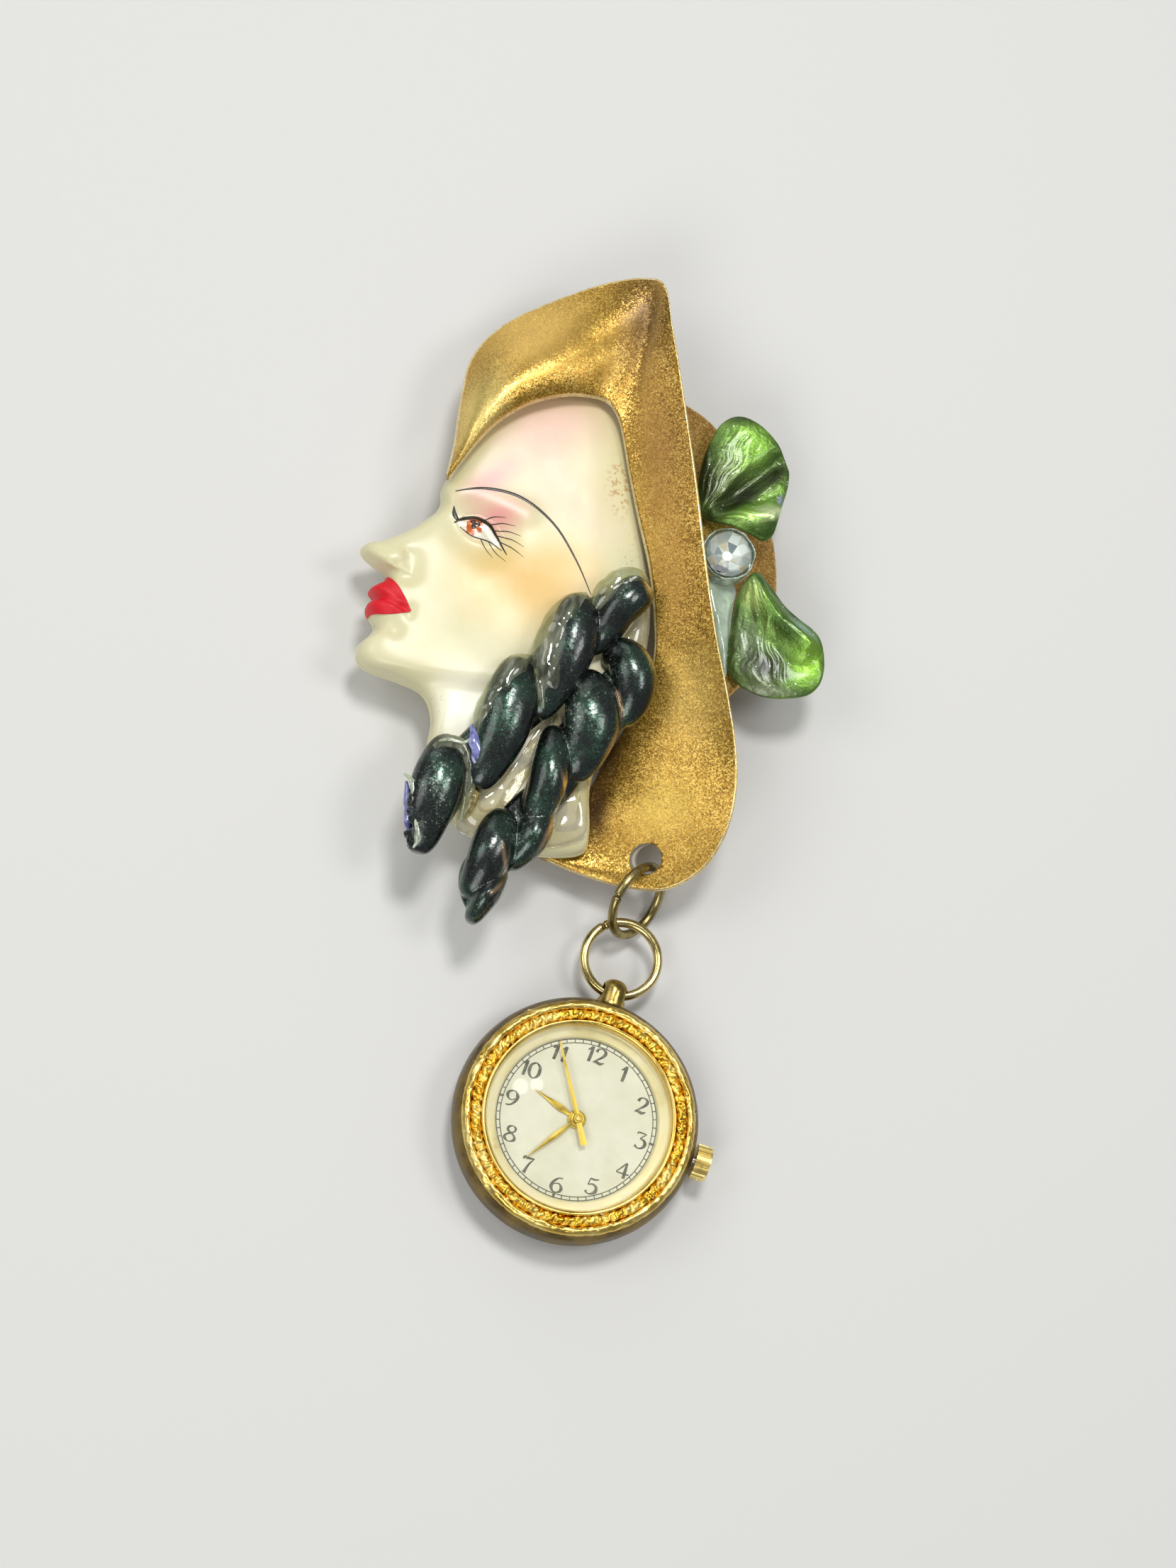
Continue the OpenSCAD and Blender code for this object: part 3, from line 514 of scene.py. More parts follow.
# Gold glitter varnish over cast resin: soft metal shine broken up by flakes that each lean their own way.
# Real flakes are near 0.05 mm; they are drawn at 0.13 mm so that the sparkle shows.
def glitterGold(name, dark, middle, light, worn=False, paintedLightAndShade=()):
    material, add, place = startMaterial(name, {
        "Metallic": 0.7, "Roughness": 0.4, "Coat Weight": 0.12, "Coat Roughness": 0.25})
    flakes = add("TexVoronoi", {"Scale": 1000 / 0.13, "Vector": place})
    coarse = add("TexVoronoi", {"Scale": 1000 / 0.3, "Vector": place})
    cloud = add("TexNoise", {"Scale": 420, "Detail": 4, "Vector": place})  # clouds of 2.4 mm
    tone = add("SeparateColor", {0: flakes.outputs["Color"]})
    soft = add("Math", {"operation": "MULTIPLY", 1: 0.3, 0: cloud})
    mixed = add("Math", {"operation": "MULTIPLY_ADD", 1: 0.62, 0: tone, 2: soft})
    colour = add("ValToRGB", {"stops": [(0.16, dark), (0.5, middle), (0.84, light)], "Fac": mixed})
    colour = tinted(add, place, colour, paintedLightAndShade, 12, 60)  # painted shade and painted light: darker or lighter where the brim faces away from or towards the light
    if worn:  # paint rubbed off to pale resin in chips of 1.1 mm
        chips = add("TexNoise", {"Scale": 900, "Detail": 4, "Vector": place})
        share = add("MapRange", {"From Min": 0.52, "From Max": 0.6, "Value": chips})
        colour = add("Mix", {"data_type": "RGBA", 7: "#e9ddb4", 0: share, 6: colour}).outputs[2]
    upright = add("NewGeometry").outputs["Normal"]
    tilted = flakeLean(add, coarse, 0.0255, flakeLean(add, flakes, 0.17, upright))
    normal = add("VectorMath", {"operation": "NORMALIZE", 0: tilted})
    rough = add("MapRange", {"To Min": 0.26, "To Max": 0.42, "Value": tone.outputs[1]})
    return finished(material, {"Base Color": colour, "Normal": normal, "Roughness": rough})


# The spots over the brim are painted light and shade. They are darker brown at the top right and down the
# right band, where the brim slopes away from the light. They are lighter gold on the upper left, the roll
# and the bottom, where it faces the light. A dark painted shadow runs down the strip beside the neck, where
# the brim goes under it.
goldVarnish = glitterGold("glitterVarnishGold", "#80601f", "#b58a2e", "#eecd70", paintedLightAndShade=[
    ((5.5, 51.5), (6, 12), -8, 0.95, "#523a16"), ((7.5, 36), (6, 18), 6, 0.75, "#7a5522"),
    ((9.5, 20), (5, 13), 6, 0.5, "#80591f"), ((-9, 50), (11, 9), 35, 0.9, "#f2c86c"),
    ((-13.7, 39), (4, 9), -20, 0.7, "#fbe38c"), ((11.6, 6.5), (5, 9), 5, 0.6, "#efc96c"),
    ((2.6, 0.6), (3, 9), -13, 1, "#38220c"),
    ((1, -6.2), (2.5, 6.2), -8, 1, "#432a10"), ((8, -6), (6, 6), 0, 0.4, "#e8c860")])
# The crown's brown varnish is painted lighter than it is, as painted light against the shade the brim casts
# over it.
crownVarnish = glitterGold("glitterVarnishBrown", "#966c2e", "#cc9846", "#f2d286")
# The bare rim where the varnish ends, and the thin lip beside it: pale gold, smooth, chipped here and there
rimVarnish = glitterGold("glitterVarnishRubbedRim", "#c79f4c", "#ecd28a", "#fcf0c0", worn=True)
lipVarnish = glitterGold("glitterVarnishThinLip", "#b8a26c", "#e0d0a0", "#f4eac8", worn=True)


# Drilled resin: chalky grey-cream with the drill's fine rings
def drilledResin():
    material, add, place = startMaterial("resinDrilled", {"Roughness": 0.6})
    wave = add("TexWave", {"Scale": 260, "Distortion": 1.5, "bands_direction": "Z", "Vector": place})
    rings = wave.outputs["Fac"]
    colour = add("ValToRGB", {"stops": [(0.2, "#8d8776"), (0.8, "#cfc8b2")], "Fac": rings})
    relief = add("Bump", {"Strength": 0.5, "Distance": 0.0001, "Height": rings})
    return finished(material, {"Base Color": colour, "Normal": relief})


def drilled(piece, at, lean, radius, length, finish):  # drills a round hole through a piece
    work = bmesh.new()
    bmesh.ops.create_cone(work, cap_ends=True, segments=72, radius1=radius * mm, radius2=radius * mm,
                          depth=length * mm)
    mesh = bpy.data.meshes.new("drill")
    work.to_mesh(mesh)
    work.free()
    mesh.materials.append(finish)
    drill = newObject("drill", mesh)
    drill.location = [v * mm for v in at]
    drill.rotation_euler = [math.radians(v) for v in lean]
    cut = piece.modifiers.new("hole", "BOOLEAN")
    cut.object, cut.solver, cut.material_mode = drill, "EXACT", "TRANSFER"
    applied(piece)
    bpy.data.objects.remove(drill)


def brimLoops():  # each loop runs over the top from the inner edge, round the outer edge and back below
    loops = []
    for row in smoothCurve(brim["sections"], brim["stepsAlong"]):
        inner, outer = row[:3], row[3:6]
        width = np.linalg.norm(outer[:2] - inner[:2])
        inset = min(0.42, 0.62 * brim["wall"] / 2 * brim["edgeShare"] / width)
        across = 0.5 - 0.5 * np.cos(np.linspace(0, math.pi, brim["stepsAcross"]))
        across = inset + (1 - 2 * inset) * across
        share = np.concatenate([across, 1 - inset + inset * np.cos(rimTurns), across[::-1],
                                inset - inset * np.cos(rimTurns)])
        flat = np.ones(len(across))
        side = np.concatenate([flat, np.sin(rimTurns), -flat, -np.sin(rimTurns)])
        half = brim["wall"] / 2 * (brim["edgeShare"] + (1 - brim["edgeShare"]) * np.sin(math.pi * share))
        crest = np.sin(math.pi * np.clip(share, 0, 1) ** (math.log(0.5) / math.log(row[7])))
        height = inner[2] + (outer[2] - inner[2]) * share + row[6] * crest + side * half
        loops.append(np.column_stack([inner[:2] + np.outer(share, outer[:2] - inner[:2]), height]))
    return np.array(loops)


loops = brimLoops()
acrossCount, roundCount = brim["stepsAcross"], loops.shape[1]
lumps = sum(height * wobble(loops, size, seed) for height, size, seed in brim["lumps"])
loops[:, :acrossCount, 2] += lumps[:, :acrossCount]
hatBrim = loftPiece("hatBrim", loops, [goldVarnish, rimVarnish, lipVarnish])
for poly in hatBrim.data.polygons:  # the outer rim and the thin lip beside it are rubbed pale
    last = max(poly.vertices)
    at = min(v % roundCount for v in poly.vertices) if last < loops.shape[0] * roundCount else 0
    if acrossCount - 2 <= at <= acrossCount + 5:
        poly.material_index = 1
    elif at >= roundCount - 4 and last < brim["lipRows"] * roundCount:
        poly.material_index = 2
drilled(hatBrim, brim["holeAt"], brim["holeLean"], brim["holeRadius"], 9, drilledResin())
standsFor(hatBrim, "hat_brim")

crown = {
    "outline": [(5.8, 40), (7.5, 30), (9.2, 20), (10.6, 12), (14.2, 6.6), (17.6, 8.6), (20.3, 12.4),
                (22.2, 17), (22.9, 22), (22.7, 27), (21.4, 32), (19.2, 36.2), (16.6, 39.4), (13.4, 42),
                (9, 43.2)],
    "hub": (15, 25), "height": 9.3, "slope": 0.32, "bend": 0.006, "dip": 0.1, "dipBelow": 17,
    "ridge": (9.2, 0.17, 20),  # x where it is highest, its lean, and y where that x holds
    "wall": 1.4, "edge": 0.5,
}


def crownTop(points, share=0):
    x, lean, y = crown["ridge"]
    out = points[:, 0] - x + lean * (points[:, 1] - y)
    return (crown["height"] - crown["slope"] * out - crown["bend"] * out * out
            - crown["dip"] * np.maximum(0, crown["dipBelow"] - points[:, 1]))


hatCrown = platePiece("hatCrown", smoothCurve(crown["outline"], 14, True), crown["hub"],
                      np.linspace(0.03, 1, 26), (1, 0.6, 0.2), crownTop,
                      lambda points, share: crownTop(points) - crown["wall"], crown["edge"], crownVarnish)
standsFor(hatCrown, "hat_crown")
print("hat made")

# Bow
bow = {  # folds: line, width, height, and the two values of x between which it begins
    "upper": {"hub": (17.6, 32.6), "outline": [
        (12.5, 29.6), (12.4, 31.8), (12.9, 34.8), (13.9, 37.6), (15.2, 39.9), (16.9, 41), (18.8, 40.7),
        (20.8, 39.3), (22.4, 37.3), (23.3, 35), (23.2, 32.6), (22.4, 30), (21.7, 28), (21.2, 26.4),
        (20.2, 25.8), (18.6, 26.4), (16.8, 27.1), (14.8, 27.6), (13.2, 28.3)],
        "gather": (12.6, 28.4), "height": 9.1, "slope": 0.07, "from": 13, "seed": 2.0, "shadeSeed": 1.0,
        "folds": [([(14.4, 29), (22, 35.6)], 1.2, -1.2, (13.5, 17)),
                  ([(14.4, 28.1), (21.2, 28.3)], 1.5, 1.4, (12.5, 16))]},
    "lower": {"hub": (21, 12.5), "outline": [
        (18.7, 21.7), (17.5, 20.1), (16.9, 18), (16.5, 15.4), (16.1, 12.8), (16, 11), (16.7, 9.2),
        (18.4, 7.9), (20.4, 7.1), (22.8, 7), (25.2, 7.4), (26.6, 8.6), (27.2, 10.4), (27.2, 12.2),
        (26.7, 13.9), (25.8, 15.2), (24.4, 16.3), (23, 17.7), (21.7, 19.4), (20.6, 20.8), (19.8, 21.8)],
        "gather": (18.6, 22.6), "height": 8.1, "slope": 0.15, "from": 16, "seed": 9.0, "shadeSeed": 4.0,
        "folds": [([(18.9, 21.2), (21, 17), (25, 13.4)], 1.5, 1.5, (0, 1))]},
    "wall": 1.1, "edgeRoll": 0.35, "wrinkle": 0.2, "fineWrinkle": 0.044,
}


def wrinkles(points, gather, seed):  # pleats run out from where the petal is gathered
    off = points - np.array(gather)
    reach, turn = np.linalg.norm(off, axis=1), np.arctan2(off[:, 1], off[:, 0])
    bent = turn + 0.12 * wobble(flat3(points), 3, seed)
    pleats = wobble(flat3(np.column_stack([bent * 7, reach / 9])), 1, seed)
    fine = wobble(flat3(np.column_stack([bent * 26, reach / 2.2])), 1, seed + 5)
    return (bow["wrinkle"] * pleats + bow["fineWrinkle"] * fine) * rampUp(0.5, 3.5, reach)


def petalTop(which, points, share):
    petal, across = bow[which], points[:, 0]
    height = petal["height"] + petal["slope"] * (across - petal["from"])
    for line, width, lift, begins in petal["folds"]:
        height = height + lift * bell(toLine(points, line), width) * rampUp(*begins, across)
    return height + wrinkles(points, petal["gather"], petal["seed"]) - bow["edgeRoll"] * share**8


# Spots over the petals: middle, size, turn, strength, colour. The bright greens and pale-blue streaks on the
# ridges are painted highlights. The near-black olives in the folds and hollows are painted shade. The rest
# are the lacquer's own olive, grey and chipped patches.
leafTintsAndPaintedLight = {
    "upper": [((15.2, 33), (5.5, 8), -20, 0.85, "#525a38"), ((19.8, 37.4), (4.4, 5), 0, 0.8, "#7aa63c"),
              ((22.4, 36.4), (2.2, 4), 0, 0.7, "#38501f"), ((18.6, 31.8), (7, 2.6), 36, 1, "#1f1d0c"),
              ((21.6, 33.8), (3.4, 2.4), 40, 0.95, "#26280f"), ((18.4, 29), (4.6, 1.5), 16, 0.9, "#95c44e"),
              ((21, 29.4), (1.8, 2), 0, 0.7, "#8cc048"), ((19.8, 26.3), (3.4, 1.2), 0, 0.7, "#2c4616"),
              ((13.2, 34.5), (1.7, 6), 0, 0.85, "#2c3016"), ((17.5, 40.6), (5, 1.3), 0, 0.7, "#3f4a26"),
              ((13.8, 31.5), (2.2, 4.5), 0, 0.8, "#333b1c"), ((20.6, 28.9), (2.8, 1.5), 10, 1, "#f4ffc4"),
              ((18.6, 28.1), (3, 1.2), 12, 1, "#c8f488"),
              ((22.1, 30.7), (0.6, 1), -20, 1, "#b4bdca")],
    "lower": [((18.2, 12.6), (4, 8), 0, 0.95, "#566048"), ((20.4, 9.4), (4.6, 3.6), -10, 0.85, "#494f34"),
              ((20.2, 19), (2, 3.6), 32, 0.6, "#77a63a"), ((25.3, 11.6), (3, 4.6), -10, 0.9, "#8cbc3c"),
              ((22.6, 14.8), (3.4, 1.5), -42, 0.85, "#2e4a18"),
              ((24.6, 15.1), (3, 0.8), -40, 0.8, "#a6c8b0"),
              ((21.6, 12.4), (1.7, 3.4), 15, 0.6, "#3f5024"), ((20.6, 7.8), (5.5, 1), -4, 0.7, "#8a9078"),
              ((18.6, 19.2), (1.8, 3), 25, 1, "#cce88c"), ((20.4, 10.9), (3.6, 3), -10, 1, "#1c2012")],
}


# Leaf-green lacquer with a metal sheen over a wrinkled leaf, greyish and finely crinkled where the clear
# coat lies thick;
# its spots add painted highlights on the ridges and painted shade in the folds and hollows, besides its own
# olive and grey patches
def leafLacquer(name, seed, tintsAndLight):
    material, add, place = startMaterial(name, {
        "Metallic": 0.72, "Roughness": 0.36, "Coat Weight": 0.3, "Coat Roughness": 0.12})
    cloud = add("TexNoise", {"noise_dimensions": "4D", "W": seed, "Scale": 260, "Detail": 4,
                             "Vector": place})
    colour = add("ValToRGB", {"stops": [(0.32, "#3a5426"), (0.5, "#5f8238"), (0.68, "#84ac4e")],
                              "Fac": cloud})
    colour = tinted(add, place, colour, tintsAndLight, 9.5, 12)
    specks = dustSpecks(add, place, 0.7, 0.16)
    colour = add("Mix", {"data_type": "RGBA", 7: "#d4dccb", 0: specks, 6: colour}).outputs[2]
    crinkle = add("TexNoise", {"Scale": 900, "Detail": 5, "Distortion": 0.8, "Vector": place})  # 1.1 mm
    grain = add("TexVoronoi", {"feature": "DISTANCE_TO_EDGE", "Scale": 2200, "Vector": place})  # 0.45 mm
    low = add("Bump", {"Strength": 0.7, "Distance": 0.00022, "Height": crinkle})
    high = add("Bump", {"Strength": 0.5, "Distance": 0.00006, "Height": grain, "Normal": low})
    rough = add("MapRange", {"To Min": 0.28, "To Max": 0.5, "Value": crinkle})
    return finished(material, {"Base Color": colour, "Normal": high, "Roughness": rough})


for which in ("upper", "lower"):
    lacquer = leafLacquer("leafLacquer" + which.capitalize(), bow[which]["shadeSeed"], leafTintsAndPaintedLight[which])
    petal = platePiece(which + "Petal", smoothCurve(bow[which]["outline"], 14, True), bow[which]["hub"],
                       np.linspace(0.02, 1, 70), np.linspace(1, 0.1, 10), functools.partial(petalTop, which),
                       lambda points, share: petalTop(which, points, 0) - bow["wall"], 0.28, lacquer)
    standsFor(petal, which + "_petal")


def glassShine(add, power, steep, flat, given=None):  # more mirror the flatter one looks along the surface
    edge = add("LayerWeight", {"Blend": 0.5, **(given or {})})
    bent = add("Math", {"operation": "POWER", 1: power, 0: edge.outputs["Facing"]})
    return add("Math", {"operation": "MULTIPLY_ADD", 1: steep, 2: flat, 0: bent})


# Set clear glue: glassy and a little milky, so the light lands on it as well as passing through
def setGlue(name, tint, milk, milkShare, seed, grain=0.9, streak=1.0):
    material, add, place = startMaterial(name, {
        "Base Color": milk, "Roughness": 0.12, "Coat Weight": 1.0, "Coat Roughness": 0.03})
    if streak > 1:  # drawn out along the locks of hair
        place = add("Mapping", {"vector_type": "TEXTURE", "Rotation": (0, 0, math.radians(-24)),
                                "Scale": (1, streak, 1), "Vector": place})
    lumps = add("TexNoise", {"noise_dimensions": "4D", "W": seed, "Scale": 1000 / grain, "Detail": 3,
                             "Vector": place})
    relief = add("Bump", {"Strength": 0.4, "Distance": 0.00012, "Height": lumps})
    clear = add("BsdfTransparent", {"Color": tint})
    share = add("MapRange", {"From Min": 0.38, "From Max": 0.66, "To Min": milkShare * 0.3,
                             "To Max": min(1, milkShare * 1.7), "Value": lumps})
    shader = finished(material, {"Normal": relief}).node_tree.nodes["Principled BSDF"]
    milky = add("MixShader", {0: share, 1: clear, 2: shader})
    gloss = add("BsdfAnisotropic", {"Color": "#ffffff", "Roughness": 0.07, "Normal": relief})
    shine = glassShine(add, 4, 0.5, 0.05, {"Normal": relief})
    return finished(material, {"Surface": add("MixShader", {0: shine, 1: milky, 2: gloss})})


strip = {"outline": [(13.6, 21.2), (13.9, 17), (14.5, 14.4), (15.2, 11.6), (15.8, 9.6), (16.2, 11.4),
                     (16.5, 15), (16.8, 17.8), (17.3, 20.6), (15.6, 21.6)],
         "hub": (15.4, 16.5), "lift": 0.15, "rise": 0.75}
glueStrip = platePiece(
    "glueStrip", smoothCurve(strip["outline"], 10, True), strip["hub"], np.linspace(0.05, 1, 18), (1, 0.4),
    lambda points, share: crownTop(points) + strip["lift"] + strip["rise"] * (1 - 0.7 * share**4)
    + 0.1 * wobble(flat3(points), 2.6, 4.4),
    lambda points, share: crownTop(points) + strip["lift"], 0.2,
    setGlue("glueSetStrip", "#e4f0e2", "#cfe2cc", 1.5, 3.0, 2.6))
standsFor(glueStrip, "glue_strip")

stone = {"at": (15.8, 23.7), "radius": 2.75, "bottom": 9.2, "girdle": 10.2, "table": 11.45,
         "seat": [(0.3, 9.08), (2.2, 9.08), (2.86, 9.3), (2.9, 10.05), (3.0, 10.3), (3.12, 10.2), (3.2, 9.4),
                  (3.26, 8.6), (3.0, 8.32), (0.3, 8.32)]}


# Polished glass: clear, hard and bright, with faint smears of finger grease
def polishedGlass(name, tint, smears, dullest, shineOf):
    material, add, place = startMaterial(name)
    material.node_tree.nodes.remove(material.node_tree.nodes["Principled BSDF"])
    smear = add("TexNoise", {**smears, "Vector": place})
    rough = add("MapRange", {"From Min": 0.45, "From Max": 0.8, "To Min": 0.01, "To Max": dullest,
                             "Value": smear})
    gloss = add("BsdfAnisotropic", {"Color": "#ffffff", "Roughness": rough})
    clear = add("BsdfTransparent", {"Color": tint})
    return finished(material, {"Surface": add("MixShader", {0: shineOf(add), 1: clear, 2: gloss})})


# The silvered back of the stone, with painted reflections: each facet's colour is set by which way it faces,
# standing in for the share of the room it would mirror
def silverFoil():
    material, add, place = startMaterial("foilSilveredPaintedReflections", {"Metallic": 0.2, "Roughness": 0.16})
    lean = add("VectorMath", {"operation": "DOT_PRODUCT", 1: (3.1, 2.3, 1.4),
                              0: add("NewGeometry").outputs["True Normal"]})
    turn = add("Math", {"operation": "PINGPONG", 1: 1.0, 0: lean.outputs["Value"]})
    colour = add("ValToRGB", {"Fac": turn, "stops": [
        (0.04, "#9aa5ab"), (0.2, "#ffffff"), (0.4, "#d6dddd"), (0.6, "#fff8ec"), (0.78, "#b9c3c8"),
        (0.95, "#ffe9c8")]})
    return finished(material, {"Base Color": colour})


def ringPoints(count, radius, height, turn=0.0):
    turns = math.radians(turn) + roundTurns(count)
    x, y = stone["at"]
    return [(x + radius * math.cos(t), y + radius * math.sin(t), height) for t in turns]


def facetPiece(name, points, finish, keep=None):  # the tight skin of the points, in flat facets
    work = bmesh.new()
    for p in points:
        work.verts.new([v * mm for v in p])
    bmesh.ops.convex_hull(work, input=work.verts)
    bmesh.ops.dissolve_limit(work, angle_limit=math.radians(1.5), verts=work.verts, edges=work.edges)
    if keep:
        bmesh.ops.delete(work, geom=[f for f in work.faces if not keep(f)], context="FACES")
    mesh = bpy.data.meshes.new(name)
    work.to_mesh(mesh)
    work.free()
    mesh.materials.append(finish)
    piece = newObject(name, mesh)
    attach(piece, wholePiece)
    return piece


r, girdle, table, bottom = (stone[key] for key in ("radius", "girdle", "table", "bottom"))
cutStone = facetPiece("cutStone", (
    ringPoints(8, r * 0.56, table) + ringPoints(8, r * 0.8, table - 0.52, 22.5)
    + ringPoints(16, r, girdle + 0.16, 11.25) + ringPoints(16, r, girdle, 11.25)
    + ringPoints(8, r * 0.6, girdle - 0.55) + ringPoints(8, r * 0.22, bottom + 0.06, 22.5)),
    polishedGlass("glassCut", "#fbfdfb", {"Scale": 500, "Detail": 2}, 0.1,  # smears of 2 mm
                  lambda add: add("Fresnel", {"IOR": 1.45})))
standsFor(cutStone, "rhinestone")
facetPiece("stoneFoil", ringPoints(16, r * 0.985, girdle - 0.03, 11.25)
           + ringPoints(8, r * 0.6, girdle - 0.6)
           + ringPoints(8, r * 0.22, bottom + 0.01, 22.5), silverFoil(), lambda f: f.normal.z < 0.9)


def revolved(profile, middle, steps, uneven=0.0, size=1.0, seed=0.0):  # rows round an upright axis
    profile = np.array(profile, float)
    turns = roundTurns(steps)
    grid = np.stack([middle[0] + np.outer(np.cos(turns), profile[:, 0]),
                     middle[1] + np.outer(np.sin(turns), profile[:, 0]),
                     np.tile(profile[:, 1], (steps, 1))], -1)
    if uneven:
        lump = wobble(grid, size, seed) * uneven * 2
        grid += np.stack([lump * np.cos(turns)[:, None], lump * np.sin(turns)[:, None], lump * 0.5], -1)
    return grid


seatRows = revolved(smoothCurve(stone["seat"], 4, True), stone["at"], 96, 0.07, 0.9, 6.0)
seatGlue = setGlue("glueSetGreyGreen", "#e8f0e8", "#c4d4c6", 0.6, 8.0, 2.0)
glueSeat = loftPiece("glueSeat", seatRows, seatGlue, closeRows=True)
standsFor(glueSeat, "glue_seat")
print("bow made")

# Twisted hair
hair = {  # middle lines: x, y, z, size, turn of the first strand
    "front": [(5.4, 19.2, 12.4, 0.4, 20), (3.1, 17.1, 12.5, 0.8, 90), (0.5, 14.6, 12.5, 0.86, 180),
              (-2.6, 11.7, 12.4, 0.98, 270), (-6, 7.4, 12, 0.9, 355), (-9.9, 2.8, 11.4, 1, 445),
              (-13.8, -1.8, 10.9, 0.92, 535), (-17.3, -5.8, 10.8, 1, 630), (-20, -9.4, 10.7, 0.86, 690)],
    "back": [(3.2, 12.2, 10.8, 0.3, 30), (3.5, 9.1, 11.3, 0.86, 90), (2.1, 5.5, 11.2, 0.86, 180),
             (-0.5, 2.5, 11.1, 0.96, 270), (-3, -1, 10.9, 0.84, 355), (-6.2, -6.2, 10.8, 0.94, 450),
             (-9.4, -10.2, 10.6, 0.8, 540), (-12, -13.5, 10.4, 0.98, 625), (-13.4, -16.6, 10.1, 0.66, 690),
             (-13.9, -19.4, 9.7, 0.18, 730)],
    "strandRadius": 2.45, "strandOffset": (1.15, 0.95), "flatness": 0.58, "coreShare": 0.98,
    "coreDrop": 0.75,
    # the plump lobes that show: middle line from the top down, width, height
    "frontLobes": [([(6, 19.1), (4.6, 18), (2.4, 15.8), (-0.2, 11.4)], 4.7, 12.3),
                   ([(-1.5, 17.6), (-2.4, 14.4), (-3.6, 9.6), (-7, 3)], 5.7, 12.3),
                   ([(-8.6, 9.9), (-9.6, 6.2), (-11, 0.8), (-13.8, -5.4)], 6.1, 12),
                   ([(-16.2, 0.6), (-17.6, -3), (-19, -7.6), (-20.4, -13)], 6, 11.1)],
    "backLobes": [([(0.8, 10.8), (3, 10.7), (4.3, 8.6), (4.1, 5.6), (2.8, 2.8)], 5.2, 11.2),
                  ([(-2.1, 8.6), (-0.7, 5.2), (-0.9, 1), (-3.1, -4)], 6.4, 11.7),
                  ([(-4.7, 2.2), (-5.1, -1.6), (-5.9, -5.6), (-7.9, -10.6)], 4.5, 11.4),
                  ([(-6.2, -5.4), (-6.6, -9), (-7.8, -11.6), (-10, -14.2)], 4, 10.4),
                  ([(-10.2, -7.7), (-11.4, -10.8), (-12.6, -14.2), (-14.6, -18)], 5, 10.9),
                  ([(-10.4, -14.2), (-11.8, -16.8), (-13, -18.6), (-14.2, -20.7)], 3, 10.1)],
    "lobeHeight": 4.3, "lobeDrop": 1.1, "lobePoint": 0.42, "brokenAt": -21.3, "sides": 64, "steps": 12,
    "grain": 0.13, "smoothing": 3,
}


def tubeSections(rows, widths, heights, sides):  # oval sections along a line of x, y, z
    side, angles = flat3(acrossLine(rows)), roundTurns(sides)
    return (rows[:, None, :3] + side[:, None] * (np.cos(angles) * widths[:, None] / 2)[:, :, None]
            + np.array([0, 0, 1]) * (np.sin(angles) * heights[:, None] / 2)[:, :, None])


def twistCore(line):  # the two strands inside, as the part's solid has them
    rows = smoothCurve(line, hair["steps"])
    away, angles = acrossLine(rows), roundTurns(hair["sides"])
    offset = np.where(np.cos(angles) > 0, *hair["strandOffset"])
    reach = np.sqrt(hair["strandRadius"]**2 - (offset * np.sin(angles))**2)
    strands = offset * np.abs(np.cos(angles)) + reach
    strands = strands * hair["coreShare"]
    grid = np.zeros((len(rows), len(angles), 3))
    for k, row in enumerate(rows):
        turn = angles + math.radians(row[4])
        across = -row[3] * strands * np.cos(turn)
        grid[k, :, :2] = row[:2] + np.outer(across, away[k])
        grid[k, :, 2] = row[2] - hair["coreDrop"] + row[3] * strands * np.sin(turn) * hair["flatness"]
    return grid


def lobeSections(line, width, height):
    drop = hair["lobeDrop"] * np.abs(np.linspace(-1, 1, len(line)))**2
    rows = smoothCurve([(*spot, height - low) for spot, low in zip(line, drop)], 20)
    share = np.linspace(0.015, 0.985, len(rows))
    size = np.sin(math.pi * share) ** hair["lobePoint"]
    return tubeSections(rows, width * size, hair["lobeHeight"] * size, 48)


def brokenOff(grid, seed):  # the left end is snapped off, with a ragged face
    jag = hair["brokenAt"] + 1.1 * wobble(grid, 0.8, seed)
    return np.stack([np.maximum(grid[:, :, 0], jag), grid[:, :, 1], grid[:, :, 2]], -1)


hairWear = {
    # where the dust lies, after a black ground: middle, size, turn, strength, shade
    "dusty": [((0, 0), (60, 60), 0, 1, "#000000"), ((-2.4, 3.6), (3.6, 5.5), -20, 1, "#ffffff"),
              ((1.4, 8.6), (3, 4.5), -30, 0.8, "#ffffff"), ((-8.4, -9.4), (3.6, 4), 0, 0.9, "#ffffff"),
              ((-18.4, -6), (4, 8), 0, 0.7, "#ffffff"), ((2.4, 17.4), (3.6, 2.4), 30, 0.5, "#ffffff")],
    # the seam of the cast, where the lacquer is thin over tan resin: middle, size, turn
    "seams": [((2.6, 4.6), (0.5, 2.6), 12), ((1.7, 0), (0.5, 3.6), -27), ((-3.9, -5), (0.45, 2.2), 17),
              ((-5.3, -9.8), (0.5, 4.8), -25), ((-10.7, -13.8), (0.45, 2.4), 9),
              ((-11.5, -17.2), (0.4, 1.6), -40)],
}


